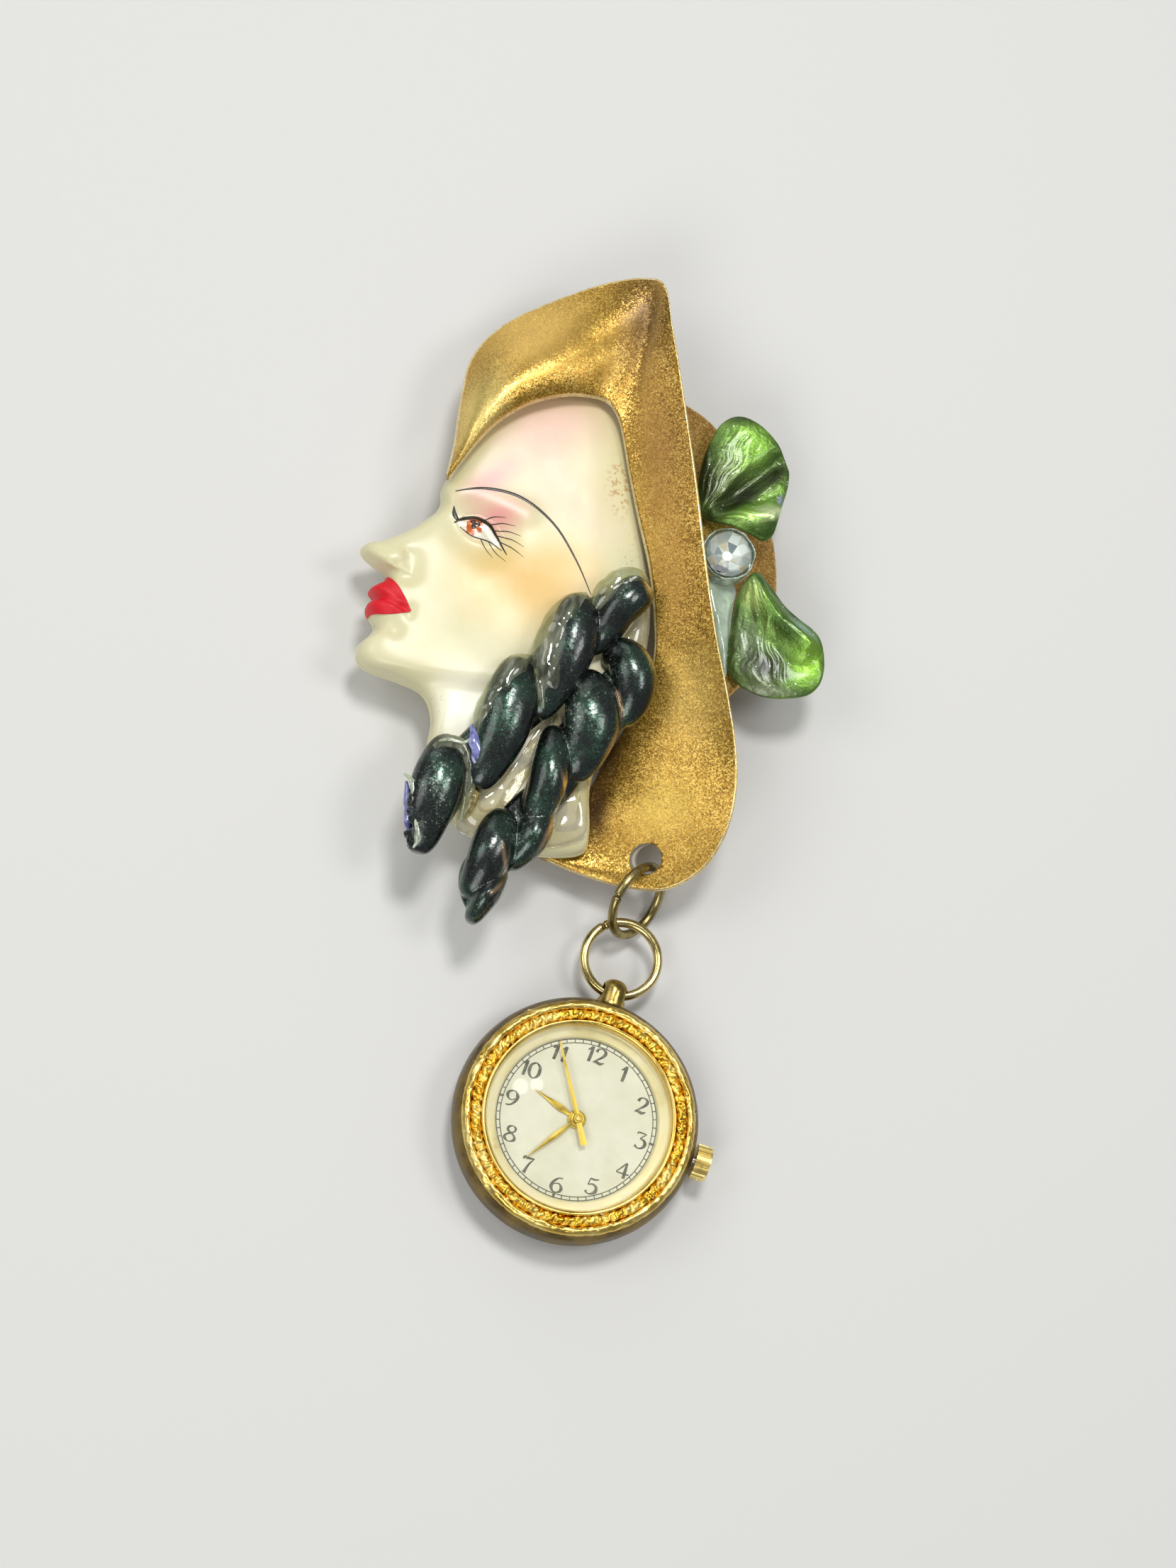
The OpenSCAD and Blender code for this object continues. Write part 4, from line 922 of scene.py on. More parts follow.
# Very dark green pearl lacquer: black in the shade, green glitter where the light lands, dusty with fine
# fibres here and there. Pearl flakes are drawn at 0.16 mm, coarser than life, so that they show.
def pearlHair():
    material, add, place = startMaterial("pearlLacquerDarkGreen", {
        "Metallic": 0.8, "Roughness": 0.34, "Coat Weight": 1.0, "Coat Roughness": 0.2})
    flakes = add("TexVoronoi", {"Scale": 1000 / 0.16, "Vector": place})
    tone = add("SeparateColor", {0: flakes.outputs["Color"]})
    cloud = add("TexNoise", {"Scale": 260, "Detail": 3, "Vector": place})  # clouds of 4 mm
    mixed = add("Math", {"operation": "MULTIPLY_ADD", 1: 0.28, 0: tone, 2: cloud})
    colour = add("ValToRGB", {"stops": [(0.42, "#0e1311"), (0.66, "#212b26"), (0.84, "#2e523e")],
                              "Fac": mixed})
    worst = tinted(add, place, add("RGB"), hairWear["dusty"], 11, 12)
    patch = add("MapRange", {"From Min": 0.45, "From Max": 0.65, "To Min": 0.25, "To Max": 0.75,
                             "Value": add("TexNoise", {"Scale": 260, "Vector": place})})
    specks = dustSpecks(add, place, 0.4, 0.34, add("Math", {"operation": "ADD", 0: patch, 1: worst}))
    bend = add("TexNoise", {"Scale": 300, "Detail": 3, "Vector": place}).outputs["Color"]
    bent = add("VectorMath", {"operation": "MULTIPLY_ADD", 1: (0.004,) * 3, 2: place, 0: bend})
    fibres = add("TexVoronoi", {"feature": "DISTANCE_TO_EDGE", "Scale": 900, "Vector": bent})
    thread = add("MapRange", {"From Min": 0.012, "From Max": 0.03, "To Min": 0.7, "To Max": 0,
                              "Value": fibres})
    lint = add("Math", {"operation": "MULTIPLY", 0: thread, 1: worst})
    share = add("Math", {"operation": "MAXIMUM", 0: specks, 1: lint})
    half = add("Math", {"operation": "MULTIPLY", 1: 0.6, 0: share})
    colour = add("Mix", {"data_type": "RGBA", 7: "#939d92", 0: half, 6: colour}).outputs[2]
    colour = tinted(add, place, colour, [(*row, 0.9, "#b0946e") for row in hairWear["seams"]], 11, 60)
    metal = add("MapRange", {"To Min": 0.8, "To Max": 0.1, "Value": half})
    broad = add("TexNoise", {"Scale": 520, "Detail": 4, "Vector": place})  # dents of 2 mm
    low = add("Bump", {"Strength": 0.6, "Distance": 0.0002, "Height": broad})
    normal = add("VectorMath", {"operation": "NORMALIZE", 0: flakeLean(add, flakes, 0.13, low)})
    rough = add("MapRange", {"To Min": 0.2, "To Max": 0.34, "Value": tone.outputs[1]})
    return finished(material, {"Base Color": colour, "Metallic": metal, "Roughness": rough, "Normal": normal,
                               "Coat Normal": low})


pearl = pearlHair()
for which in ("front", "back"):
    lofts = [twistCore(hair[which])] + [lobeSections(*row) for row in hair[which + "Lobes"]]
    if which == "front":
        lofts = [brokenOff(grid, 5.0) for grid in lofts]
    twist = fused(which + "Twist", lofts, pearl, hair["grain"], hair["smoothing"])
    standsFor(twist, which + "_twist")

# Set glue and torn films round the hair. Beads: rows of x, y, z, width, height. Films lie over the plate.
glue = {
    "beads": {
        "glueCoatTip": ("clear", [(-0.6, 14.6, 11.8, 0.7, 0.6), (0.5, 17.1, 12.5, 2.7, 3),
                                  (2.6, 18.9, 12.6, 3.3, 3.3), (4.6, 19.4, 12.6, 2.6, 2.4),
                                  (6, 19.1, 12, 0.5, 0.5)]),
        "glueCoatUpper": ("clear", [(-1.2, 17.5, 12, 0.8, 0.8), (-3, 15.9, 12.4, 3.2, 3.4),
                                    (-4.6, 13.3, 12.4, 3.9, 3.8), (-5.7, 10.4, 12.3, 3.7, 3.6),
                                    (-5.6, 8, 12.4, 3.6, 3.4), (-5.1, 6.2, 12.4, 2.4, 2.2),
                                    (-4.8, 4.6, 12.2, 0.5, 0.5)]),
        "glueCoatLower": ("clear", [(-7.8, 9.9, 11.9, 0.7, 0.7), (-9.4, 8.6, 12.2, 2.9, 3),
                                    (-11.2, 5.7, 12.1, 3.4, 3.4), (-12.8, 2.6, 11.8, 3, 3),
                                    (-13.8, -0.2, 11.2, 0.5, 0.5)]),
        "glueCoatBroken": ("clear", [(-18.8, -1.2, 12.2, 0.5, 0.4), (-17.4, -0.5, 12.3, 1.4, 0.8),
                                     (-15.6, -0.9, 12.1, 1.5, 0.9), (-14.7, -3.2, 11.6, 1.2, 0.9),
                                     (-14.7, -6.4, 10.9, 1.6, 1.1), (-15.4, -9.2, 10.3, 0.5, 0.5)]),
        "glueLump": ("amber", [(-14.7, -3.4, 10.2, 0.6, 0.6), (-14.3, -5, 10.3, 1.7, 1.4),
                               (-14.4, -7, 10, 1.6, 1.2), (-15, -8.8, 9.7, 0.6, 0.6)]),
        "tornFilmMiddle": ("lavender", [(-14.6, 1.5, 12.5, 0.25, 0.25), (-14.2, -0.2, 12.8, 1.3, 0.4),
                                        (-13.9, -2.2, 12.5, 1.3, 0.4), (-13.6, -4.2, 11.6, 0.4, 0.25)]),
        "tornFilmEnd": ("lavender", [(-21.7, -4.9, 10.6, 0.25, 0.3), (-21.55, -6.8, 10.3, 0.7, 0.9),
                                     (-21.5, -9.3, 10, 0.8, 0.9), (-21.1, -11.9, 9.9, 0.25, 0.3)]),
        "tornGlueEnd": ("pale", [(-22.1, -4.3, 11.6, 0.25, 0.2), (-21.2, -5.1, 11.9, 0.8, 0.5),
                                 (-20.9, -7.2, 12, 0.45, 0.5), (-20.7, -9.4, 11.9, 0.4, 0.4),
                                 (-20.4, -11.6, 11.6, 0.9, 0.6), (-20.9, -12.7, 11.1, 0.25, 0.3)]),
        "tornGlueMiddle": ("pale", [(-18.3, -0.6, 12.7, 0.2, 0.2), (-16.9, -0.4, 12.9, 0.5, 0.3),
                                    (-15.4, -0.7, 12.9, 0.4, 0.3), (-14.3, 0.2, 12.7, 0.2, 0.2)]),
        "gluePinch": ("clear", [(-7.3, 8.3, 12.7, 0.4, 0.4), (-6.8, 6.4, 12.9, 1.1, 0.8),
                                (-6.4, 3.6, 12.6, 0.4, 0.4)]),
    },
    "films": {  # finish, hub, thickness, outline
        "glueWeb": ("milky", (-11, -5.5), 0.5, [(-6.4, 2.4), (-4.6, 4.6), (-3.9, 1.7), (-6.2, -0.6),
                                                (-7.5, -3.4), (-9.5, -6.4), (-11.8, -9.4), (-14.4, -10),
                                                (-15.6, -8.7), (-15, -6), (-13.4, -4.4), (-10.9, -3.4),
                                                (-8.4, -1.2)]),
        "glueSheet": ("milky", (-2.6, -7.6), 0.35, [(-3.5, -4.2), (-1.4, -2.6), (-0.3, -3.6), (-0.5, -6.8),
                                                    (-0.7, -9.8), (-2.1, -11), (-5.6, -11.4), (-4.8, -8.8),
                                                    (-4, -6.4)]),
        "glueSheetTip": ("milky", (5.2, 14.6), 0.4, [(3.4, 12.8), (4.6, 15), (5.6, 16.8), (6.4, 16.9),
                                                     (6.7, 14.6), (6, 12.6), (4.6, 11.6)]),
    },
    "unevenness": 0.1, "lumpSize": 1.3,
}
glueFinish = {
    "clear": setGlue("glueSetClear", "#e6e9d8", "#b9bd9e", 0.22, 1.0, 0.8, 7.0),
    "amber": setGlue("glueSetAmber", "#e0cf8e", "#b8a768", 0.6, 2.0, 0.7),
    "milky": setGlue("glueSetMilky", "#f3f0e2", "#d9d5c2", 0.3, 5.0, 3.2),
    "lavender": setGlue("filmTornLavender", "#aeb0e4", "#9296d0", 1.1, 6.0, 0.6),
    "pale": setGlue("glueTornPale", "#dfe6d2", "#c3cdb6", 1.0, 7.0, 0.5),
}
for index, (name, (finish, rows)) in enumerate(glue["beads"].items()):
    run = smoothCurve(rows, 12)
    grid = tubeSections(run, run[:, 3], run[:, 4], 28)
    lumps = wobble(grid, glue["lumpSize"], 3.0 * index)
    middle = grid.mean(1, keepdims=True)
    uneven = glue["unevenness"] * (1 if finish == "clear" else 6)
    loftPiece(name, middle + (grid - middle) * (1 + uneven * lumps[:, :, None]), glueFinish[finish])


def filmTop(points, share, thick, seed):
    lumps = 1 + 0.7 * wobble(flat3(points), 2.4, seed)
    return faceTop(points) + 0.03 + thick * (1 - 0.75 * share**3) * lumps


for index, (name, (finish, hub, thick, outline)) in enumerate(glue["films"].items()):
    platePiece(name, smoothCurve(outline, 12, True), hub, np.linspace(0.04, 1, 30), (1, 0.5),
               functools.partial(filmTop, thick=thick, seed=2.0 * index),
               lambda points, share: faceTop(points) + 0.01, 0.12, glueFinish[finish])
print("hair made")

# Rings
rings = {
    "jump": {"at": (5.78, -16.69, 4.52), "lean": (0, 57.5, -37), "radius": 4.3, "joint": 205},
    "bail": {"at": (4.1, -23.37, 3.4), "lean": (0, 0, 0), "radius": 4.3, "joint": 118},
    "wire": 0.54, "jointGap": 0.09,
}


# Plated wire that was drawn and closed with pliers: bright metal, dulled and rubbed in patches
def drawnWire(name, dark, light, rubbed, roughness):
    material, add, place = startMaterial(name, {"Metallic": 1.0, "Roughness": roughness})
    patch = add("TexNoise", {"Scale": 420, "Detail": 4, "Roughness": 0.6, "Vector": place})  # 2.4 mm
    colour = add("ValToRGB", {"stops": [(0.3, dark), (0.55, light), (0.74, rubbed)], "Fac": patch})
    marks = add("TexNoise", {"Scale": 2600, "Detail": 3, "Vector": place})  # marks of 0.4 mm
    relief = add("Bump", {"Strength": 0.3, "Distance": 0.00004, "Height": marks})
    rough = add("MapRange", {"To Min": roughness * 0.6, "To Max": roughness * 1.5, "Value": patch})
    return finished(material, {"Base Color": colour, "Normal": relief, "Roughness": rough})


def wireRing(name, which, finish, steps=150, sides=26):
    row = rings[which]
    gapTurn = rings["jointGap"] / row["radius"]
    turns = math.radians(row["joint"]) + np.linspace(gapTurn / 2, 2 * math.pi - gapTurn / 2, steps)
    angles = roundTurns(sides)
    near = np.minimum(turns - turns[0], turns[-1] - turns) * row["radius"]
    wire = rings["wire"] * (1 - 0.22 * (1 - np.clip(near / 0.12, 0, 1)) ** 2)  # ends slightly rounded
    out = row["radius"] + np.outer(wire, np.cos(angles))
    grid = np.stack([out * np.cos(turns)[:, None], out * np.sin(turns)[:, None],
                     np.outer(wire, np.sin(angles))], -1)
    turned = np.eye(3)
    for angle, axis in zip(row["lean"], "XYZ"):
        turned = np.array(Matrix.Rotation(math.radians(angle), 3, axis)) @ turned
    return loftPiece(name, grid @ turned.T + np.array(row["at"]), finish)


for which, wire, slot in (
        ("jump", ("brassWireAntiqued", "#5d5238", "#a3935f", "#cdbd86", 0.26), "antique_bronze_ring"),
        ("bail", ("brassWirePlated", "#a08c4e", "#d9c88a", "#e3b79a", 0.2), "brass_ring")):
    standsFor(wireRing(which + "Ring", which, drawnWire(*wire)), which + "_ring")
print("rings made")

# Watch
watch = {
    "at": (-1.3, -42.2), "turn": -17, "winderHeight": 3.4, "roughness": 0.07,
    # the case: wall, rough rim, groove for the rope, bright bezel and the sloping ring inside the crystal
    "caseProfile": [
        (11.15, 0.95), (11.12, 0.1), (11.9, 0.04), (12.9, 0.55), (13.6, 1.4), (14.0, 2.4), (14.1, 3.3),
        (14.08, 4.4), (13.9, 5.5), (13.6, 6.3), (13.33, 6.82), (13.05, 7.1), (12.8, 7.2), (12.52, 7.12),
        (12.4, 6.9), (12.34, 6.6), (12.2, 6.5), (11.7, 6.45), (11.3, 6.5), (11.2, 6.6), (11.16, 7.02),
        (11.08, 7.2), (10.95, 7.25), (10.78, 7.2), (10.66, 7.1), (10.6, 6.85), (10.57, 6.0), (10.45, 5.78),
        (10.1, 5.68), (9.7, 5.56), (9.42, 5.42), (9.32, 5.02), (9.6, 4.98), (10.25, 4.98), (10.3, 4.6),
        (10.3, 1.2), (10.35, 0.95)],
    "knobProfile": [(0.01, 13.2), (1.55, 13.3), (1.6, 14.2), (1.6, 15.7), (1.42, 16.35), (1.0, 16.85),
                    (0.45, 17.08), (0.01, 17.1)],
    "knobHoleAt": 15.4, "knobHoleRadius": 1.02,
    "ropeRadius": 0.58, "ropeLine": 11.76, "ropeHeight": 6.68, "ropeStrands": 3, "ropePitch": 3.4,
}
watchMatrix = turnMatrix(math.radians(watch["turn"]))


def onWatch(points):  # from the watch's own upright frame to its place
    points = np.array(points, float)
    moved = points.copy()
    moved[..., :2] = points[..., :2] @ watchMatrix.T + np.array(watch["at"])
    return moved


# Gold-plated brass: bright where it is smooth, brown-gold where the plate is rubbed and dull
def goldPlate(name, dark, middle, light, roughness, wear, rub=0.5, metal=1.0):
    material, add, place = startMaterial(name, {"Metallic": metal, "Roughness": roughness})
    cloud = add("TexNoise", {"Scale": 260, "Detail": 6, "Roughness": 0.65, "Vector": place})  # 4 mm
    ridge = add("NewGeometry").outputs["Pointiness"]
    worn = add("Math", {"operation": "MULTIPLY_ADD", 1: rub, 0: ridge, 2: cloud})
    colour = add("ValToRGB", {"stops": [(0.45, dark), (0.7, middle), (0.95, light)], "Fac": worn})
    marks = add("TexNoise", {"Scale": 2400, "Detail": 4, "Roughness": 0.7, "Vector": place})  # 0.4 mm
    dents = add("TexNoise", {"Scale": 520, "Detail": 3, "Vector": place})  # dents of 2 mm
    low = add("Bump", {"Strength": wear, "Distance": 0.00016, "Height": dents})
    high = add("Bump", {"Strength": wear, "Distance": 0.00003, "Height": marks, "Normal": low})
    rough = add("MapRange", {"From Min": 0.3, "From Max": 0.7, "To Min": roughness * 0.6,
                             "To Max": roughness * 1.7, "Value": cloud})
    return finished(material, {"Base Color": colour, "Normal": high, "Roughness": rough})


profileRows = smoothCurve(watch["caseProfile"], 4, True)
caseGrid = revolved(profileRows, (0, 0), 420)
rimShare = (rampUp(11.0, 11.3, profileRows[:, 0]) * rampUp(5.6, 6.6, profileRows[:, 1]))[None, :]
lump = wobble(caseGrid, 1.1, 2.2) + 0.6 * wobble(caseGrid, 0.45, 8.1)
lift = rimShare * (watch["roughness"] * (lump * 2 + wobble(caseGrid, 6, 4.2)) - 0.03)
inward = np.abs(rimShare * watch["roughness"] * lump * 1.6)
turnsRound = np.arctan2(caseGrid[:, :, 1], caseGrid[:, :, 0])
caseGrid += np.stack([-inward * np.cos(turnsRound), -inward * np.sin(turnsRound), lift], -1)
# The outer wall's dull plate is painted darker than its metal, as painted shade for the side the light does
# not reach.
caseWallShaded = goldPlate("goldPlateDulledShaded", "#352b14", "#5f4d26", "#97804a", 0.34, 0.35)
# The sloping ring's pale, near-white colour with little metal is painted light, standing in for the bright
# reflection of its polished plate.
caseShell = loftPiece("caseShell", onWatch(caseGrid), [
    goldPlate("goldPlateRubbed", "#a5853c", "#dcb95c", "#f4de92", 0.27, 0.3), caseWallShaded,
    goldPlate("goldPlatePolishedPaintedLight", "#ecdc96", "#f8ecb8", "#fff8d8", 0.42, 0.08, metal=0.3)], closeRows=True)
for poly in caseShell.data.polygons:  # the wall is dulled and painted darker as painted shade, and the sloping ring inside is polished and painted pale as painted light
    out, height = profileRows[poly.vertices[0] % len(profileRows)]
    if out > 12.6 and height < 6.6:
        poly.material_index = 1
    elif out < 10.57 and height > 4.99:
        poly.material_index = 2

knobProfile = smoothCurve(watch["knobProfile"], 5)
turns = roundTurns(64)
knobGrid = np.stack([np.outer(knobProfile[:, 0], np.cos(turns)), np.tile(knobProfile[:, 1:], (1, 64)),
                     watch["winderHeight"] + np.outer(knobProfile[:, 0], np.sin(turns))], -1)
knob = loftPiece("caseKnob", onWatch(knobGrid),
                 goldPlate("goldPlateKnob", "#6f5c34", "#a88f4e", "#d8c07a", 0.26, 0.4))
drilled(knob, onWatch([[0, watch["knobHoleAt"], watch["winderHeight"]]])[0], (0, 90, watch["turn"]),
        watch["knobHoleRadius"], 8, caseWallShaded)
for piece in (caseShell, knob):
    standsFor(piece, "watch_case")


def ropeRing():  # strands laid round each other, squeezed into the groove
    turnsRound, angles = roundTurns(1100), roundTurns(20)
    laid = round(2 * math.pi * watch["ropeLine"] / watch["ropePitch"])
    phase = angles[None, :] - laid * turnsRound[:, None]
    size = watch["ropeRadius"] * (0.76 + 0.24 * np.abs(np.cos(phase * watch["ropeStrands"] / 2)))
    out = watch["ropeLine"] + 1.08 * size * np.cos(angles)
    grid = np.stack([out * np.cos(turnsRound)[:, None], out * np.sin(turnsRound)[:, None],
                     watch["ropeHeight"] + size * np.sin(angles)], -1)
    grid[:, :, 2] += 0.24 * (wobble(grid, 1.6, 5.5) + 1.2 * wobble(grid, 0.45, 1.5))
    return onWatch(grid)


ropePlate = goldPlate("goldPlateRope", "#c9861e", "#f4c848", "#fff2a8", 0.3, 0.8, 0.4)
rope = loftPiece("ropeTrim", ropeRing(), ropePlate, closeRows=True)
standsFor(rope, "rope_trim")

# Flakes of lifted plate and pale grit along the rough rim: turn from twelve, distance out, size
grit = [(318, 13.3, 0.75), (300, 11.2, 0.3), (285, 12.3, 0.4), (262, 11.3, 0.35), (238, 12.2, 0.5),
        (225, 11.2, 0.3), (204, 12.4, 0.35), (190, 11.3, 0.45), (171, 12.2, 0.4), (150, 11.2, 0.3),
        (120, 12.3, 0.3), (88, 11.25, 0.35), (62, 12.2, 0.45), (47, 11.3, 0.3), (20, 12.3, 0.4),
        (352, 12.4, 0.3), (245, 13.2, 0.3), (70, 13.3, 0.25)]
gritFinish = startMaterial("gritPaleGold", {"Base Color": "#e6cf96", "Metallic": 0.3, "Roughness": 0.4})[0]
dice = np.random.default_rng(11)
for index, (turn, out, size) in enumerate(grit):
    spread = dice.uniform(-0.5, 0.5, (9, 3)) * (size, size * 0.7, size * 0.4)
    middle = (out * math.sin(math.radians(turn)), out * math.cos(math.radians(turn)), 7.12)
    facetPiece("plateFlake%d" % index, onWatch(spread + middle), gritFinish)


# Printed metal dial: cream lacquer, matt, faintly clouded with age
def dialLacquer():
    material, add, place = startMaterial("creamLacquerDial", {"Roughness": 0.5})
    cloud = add("TexNoise", {"Scale": 300, "Detail": 5, "Roughness": 0.6, "Vector": place})  # clouds of 3 mm
    colour = add("ValToRGB", {"stops": [(0.3, "#e5e4cc"), (0.65, "#f1f0de")], "Fac": cloud})
    grain = add("TexNoise", {"Scale": 4000, "Vector": place})  # grain of 0.25 mm
    relief = add("Bump", {"Strength": 0.1, "Distance": 0.00002, "Height": grain})
    return finished(material, {"Base Color": colour, "Normal": relief})


# Pad-printed ink: grey-black, matt, a little thin in places
def dialInk():
    material, add, place = startMaterial("inkPadPrinted", {"Roughness": 0.55})
    thin = add("TexNoise", {"Scale": 1600, "Detail": 2, "Vector": place})  # 0.6 mm
    return finished(material, {"Base Color": add("ValToRGB", {
        "stops": [(0.35, "#595849"), (0.75, "#8a8878")], "Fac": thin})})


numerals = {  # each figure's strokes in a box one unit high: x, y, width
    "0": [[(0.32, 1, 0.06), (0.1, 0.82, 0.13), (0.04, 0.5, 0.17), (0.1, 0.18, 0.13), (0.32, 0, 0.06),
           (0.54, 0.18, 0.13), (0.6, 0.5, 0.17), (0.54, 0.82, 0.13), (0.32, 1, 0.06)]],
    "1": [[(0.06, 0.7, 0.05), (0.2, 0.84, 0.1), (0.3, 1, 0.06)],
          [(0.3, 1, 0.15), (0.28, 0.5, 0.16), (0.24, 0, 0.15)]],
    "2": [[(0.08, 0.72, 0.16), (0.14, 0.9, 0.1), (0.32, 1, 0.06), (0.53, 0.9, 0.13), (0.57, 0.72, 0.16),
           (0.44, 0.48, 0.12), (0.2, 0.22, 0.07), (0.03, 0.04, 0.06)],
          [(0.03, 0.05, 0.06), (0.2, 0.1, 0.13), (0.42, 0.04, 0.14), (0.62, 0.16, 0.04)]],
    "3": [[(0.08, 0.86, 0.05), (0.1, 0.98, 0.07), (0.54, 0.97, 0.06)],
          [(0.54, 0.97, 0.06), (0.26, 0.62, 0.06)],
          [(0.26, 0.61, 0.06), (0.5, 0.54, 0.12), (0.6, 0.3, 0.17), (0.46, 0.06, 0.1), (0.24, 0, 0.06),
           (0.06, 0.13, 0.15)]],
    "4": [[(0.46, 1, 0.06), (0.25, 0.66, 0.07), (0.02, 0.32, 0.06)], [(0.02, 0.3, 0.06), (0.72, 0.3, 0.07)],
          [(0.48, 1, 0.1), (0.48, 0.5, 0.15), (0.48, 0, 0.15)]],
    "5": [[(0.16, 0.96, 0.07), (0.4, 0.94, 0.1), (0.62, 1.02, 0.05)],
          [(0.16, 0.96, 0.06), (0.11, 0.54, 0.05)],
          [(0.11, 0.54, 0.05), (0.34, 0.64, 0.08), (0.57, 0.5, 0.14), (0.58, 0.22, 0.17), (0.36, 0.01, 0.08),
           (0.16, 0.02, 0.07), (0.05, 0.15, 0.14)]],
    "6": [[(0.58, 0.95, 0.06), (0.34, 0.9, 0.08), (0.12, 0.62, 0.13), (0.06, 0.3, 0.17), (0.18, 0.06, 0.1),
           (0.36, 0, 0.06), (0.57, 0.12, 0.12), (0.62, 0.32, 0.16), (0.5, 0.54, 0.08), (0.32, 0.58, 0.05),
           (0.12, 0.44, 0.05)]],
    "7": [[(0.05, 0.82, 0.06), (0.09, 0.97, 0.13), (0.34, 0.95, 0.12), (0.62, 0.99, 0.05)],
          [(0.62, 0.99, 0.05), (0.4, 0.56, 0.1), (0.26, 0, 0.17)]],
    "8": [[(0.33, 0.55, 0.07), (0.13, 0.68, 0.12), (0.14, 0.88, 0.12), (0.33, 1, 0.05), (0.52, 0.88, 0.11),
           (0.5, 0.68, 0.08), (0.33, 0.55, 0.1), (0.1, 0.38, 0.1), (0.06, 0.17, 0.14), (0.32, 0, 0.05),
           (0.59, 0.17, 0.15), (0.54, 0.4, 0.1), (0.33, 0.55, 0.07)]],
}
numerals["9"] = [[(0.66 - x, 1 - y, w) for x, y, w in stroke] for stroke in numerals["6"]]
dialPrint = {
    "height": 1.82, "wide": 1.16, "weight": 1.3, "line": 7.72, "advance": 0.54, "trackOut": 9.2,
    "trackIn": 8.78,
    "rule": 0.11, "dotsAt": (0, 15, 30, 45), "surface": 4.905, "lift": 0.035,
}


def clockRay(turn):  # the way out from the dial's middle, turned from twelve in degrees
    return np.array([math.sin(math.radians(turn)), math.cos(math.radians(turn))])


def printedStrokes():  # numbers, minute track and quarter dots: rows of x, y and width
    high, wide, rule = dialPrint["height"], dialPrint["wide"], dialPrint["rule"]
    inner, outer = dialPrint["trackIn"], dialPrint["trackOut"]
    strokes = []
    for hour in range(1, 13):
        for index, figure in enumerate(str(hour)):
            start = (index - (len(str(hour)) - 1) / 2) * dialPrint["advance"] - 0.33 * wide
            middle = clockRay(30 * hour) * dialPrint["line"]
            for stroke in numerals[figure]:
                strokes.append([(*(middle + high * np.array([start + x * wide, y - 0.5])),
                                 w * high * dialPrint["weight"]) for x, y, w in stroke])
    for minute in range(60):
        ray = clockRay(6 * minute)
        strokes.append([(*(ray * inner), rule), (*(ray * outer), rule)])
        if minute in dialPrint["dotsAt"]:
            strokes.append([(*(ray * (inner - 0.16)), 0.03), (*(ray * (inner + 0.2)), 0.3),
                            (*(ray * (outer + 0.14)), 0.03)])
    for reach in (inner, outer):
        strokes.append([(*(reach * clockRay(turn)), rule) for turn in range(0, 361, 5)])
    return [[(*onWatch([[x, y, 0]])[0][:2], w) for x, y, w in stroke] for stroke in strokes]


makePiece("dialPrint", *strokeMesh(printedStrokes(), lambda p: np.full(len(p), dialPrint["surface"]),
                                   dialPrint["lift"], 4), dialInk(), closed=False)


# Brushed steel and nickel: cool grey, fine marks
def dullSteel(name, dark, light, roughness):
    material, add, place = startMaterial(name, {"Metallic": 1.0, "Roughness": roughness})
    drawnOut = add("Mapping", {"Scale": (1, 12, 1), "Vector": place})
    brushed = add("TexNoise", {"Scale": 900, "Detail": 4, "Vector": drawnOut})  # marks of 1.1 by 0.1 mm
    colour = add("ValToRGB", {"stops": [(0.3, dark), (0.7, light)], "Fac": brushed})
    relief = add("Bump", {"Strength": 0.3, "Distance": 0.00003, "Height": brushed})
    rough = add("MapRange", {"To Min": roughness * 0.7, "To Max": roughness * 1.4, "Value": brushed})
    return finished(material, {"Base Color": colour, "Normal": relief, "Roughness": rough})


steel = dullSteel("stainlessSteelBrushed", "#8e9092", "#bcbdbd", 0.3)
for node, finish in (
        ("dial", dialLacquer()), ("case_back", steel), ("winding_stem", steel),
        ("crystal", polishedGlass("mineralGlassPolished", "#fdfdfb", {"Scale": 300, "Detail": 4}, 0.05,
                                  lambda add: glassShine(add, 5, 0.96, 0.04))),  # smears of 3 mm
        ("movement", goldPlate("brassPlateTurned", "#7d6a35", "#bfa45a", "#e2cf8e", 0.3, 0.2)),
        ("pin_back", dullSteel("nickelPlateDull", "#8f8b80", "#bdb8aa", 0.34)),
        ("winding_crown", goldPlate("goldPlateFluted", "#9a7730", "#e0ba58", "#ffe796", 0.22, 0.2, 0.7))):
    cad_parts[node].data.materials.clear()
    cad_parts[node].data.materials.append(finish)

hands = {  # length, widest, tail, hub radius, bore, height, turn from twelve, ridge
    "hour_hand": (5.9, 0.78, 0, 1.05, 0.64, 5.1, 287.96, 0.17),
    "minute_hand": (7.3, 0.62, 0, 0.85, 0.46, 5.52, 215.52, 0.15),
    "second_hand": (9.0, 0.5, 3.1, 0.55, 0.28, 5.88, 330, 0.08),
}
handPlate = goldPlate("goldPlateHands", "#c8a63a", "#f2d668", "#fff4b8", 0.4, 0.12, 0.2)


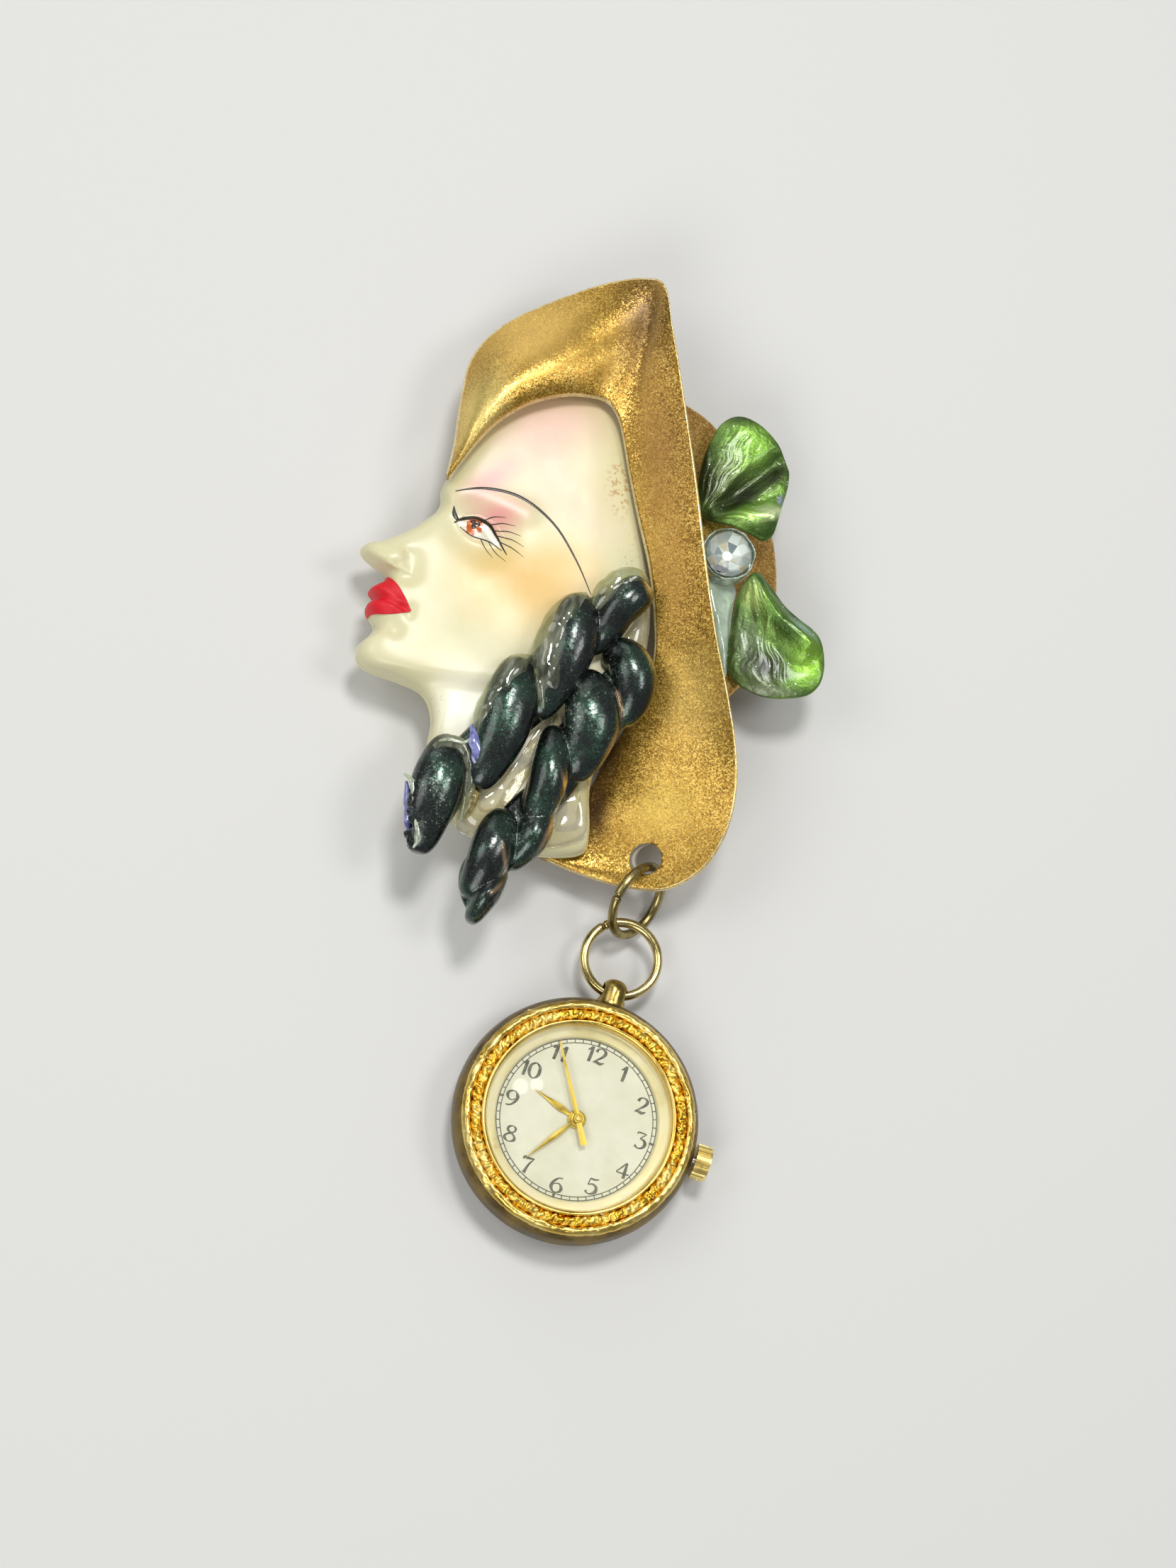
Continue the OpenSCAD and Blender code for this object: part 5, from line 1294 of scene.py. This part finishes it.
def leafHand(node):  # a leaf with a ridge down its middle, round a stepped hub
    length, widest, tail, hub, bore, height, turn, ridge = hands[node]
    if tail:
        rows = [(-tail, widest * 1.3), (-tail + 0.3, widest * 1.5), (-0.6, widest * 1.2),
                (0.2, widest * 1.1), (length * 0.5, widest * 0.8), (length, widest * 0.4)]
    else:
        rows = [(0.2, 0.3), (length * 0.12, 0.34), (length * 0.25, widest * 0.72), (length * 0.4, widest),
                (length * 0.55, widest * 0.8), (length * 0.72, 0.32), (length * 0.88, 0.17), (length, 0.07)]
    sections = []
    for y, w in smoothCurve(rows, 8):
        w = max(w, 0.05)
        top = 0.05 + 0.6 * ridge * min(1, w / 0.35)
        sections.append([(-w / 2, y, 0), (w / 2, y, 0), (w / 2, y, 0.05), (0, y, top), (-w / 2, y, 0.05)])
    hubRows = [(bore, 0), (hub, 0), (hub, 0.07), (hub - 0.08, 0.12), (hub * 0.62 + bore * 0.38, 0.14),
               (bore + 0.1, 0.17), (bore, 0.14)]
    for part, grid, more in (("Blade", np.array(sections, float), {"smooth": False}),
                             ("Hub", revolved(hubRows, (0, 0), 64), {"closeRows": True})):
        grid[..., :2] = grid[..., :2] @ turnMatrix(math.radians(-turn)).T
        grid[..., 2] += height
        piece = loftPiece(node.replace("_h", "H") + part, onWatch(grid), handPlate, body=node, **more)
        standsFor(piece, node)


for node in hands:
    leafHand(node)
print("watch made")

# Floor, light and camera
studio = {
    "floor": "#d9d8d4", "world": "#e8ebf0", "worldStrength": 0.3,
    # lamps: place in metres, size, power. The last two are pin lamps that glint in the crystal.
    "lamps": [((0.03, 0.19, 0.56), 0.13, 1.5), ((0.26, 0, 0.46), 0.16, 0.5), ((-0.34, 0.1, 0.4), 0.3, 0.5),
              ((-0.2, -0.36, 0.42), 0.3, 0.85), ((-0.14, 0.44, 0.24), 0.3, 0.2),
              ((0.0749, 0.0472, 0.6), 0.0044, 0.00013), ((0.0794, 0.0478, 0.6), 0.0036, 0.0001)],
}
scene = bpy.context.scene
scene.view_settings.view_transform = "Standard"

floorMesh = bpy.data.meshes.new("floor")
corners = [(x, y, -0.00002) for x, y in ((-3, -3), (3, -3), (3, 3), (-3, 3))]
floorMesh.from_pydata(corners, [], [(0, 1, 2, 3)])
paper = startMaterial("paperBackdrop", {"Base Color": studio["floor"], "Roughness": 0.9})[0]
floorMesh.materials.append(paper)
newObject("floor", floorMesh)

scene.world = bpy.data.worlds.new("studio")
scene.world.use_nodes = True
fillNode(scene.world.node_tree, scene.world.node_tree.nodes["Background"],
         {"Color": studio["world"], "Strength": studio["worldStrength"]})
for index, (at, size, power) in enumerate(studio["lamps"]):
    lamp = bpy.data.lights.new("lamp%d" % index, "AREA")
    lamp.shape, lamp.size, lamp.energy = "DISK", size, power
    holder = newObject("lamp%d" % index, lamp)
    holder.location = at
    holder.rotation_euler = (-Vector(at)).to_track_quat("-Z", "Y").to_euler()

view = {"lens": 85, "distance": 428, "target": (0, -3.2, 5), "leanX": 9, "leanY": 13}
back = Vector([-math.tan(math.radians(view[lean])) for lean in ("leanX", "leanY")] + [1]).normalized()
place = (Vector(view["target"]) + view["distance"] * back) * mm
across = (-back).cross(Vector((0, 1, 0))).normalized()
upward = across.cross(-back)
lens = bpy.data.cameras.new("photoCamera")
lens.lens, lens.sensor_width, lens.sensor_height, lens.sensor_fit = view["lens"], 36, 36, "VERTICAL"
lens.clip_start, lens.clip_end = 0.01, 10
photoCamera = newObject("photoCamera", lens)
axes = [[across[k], upward[k], back[k], place[k]] for k in range(3)]
photoCamera.matrix_world = Matrix(axes + [[0, 0, 0, 1]])
scene.camera = photoCamera
print("studio made")
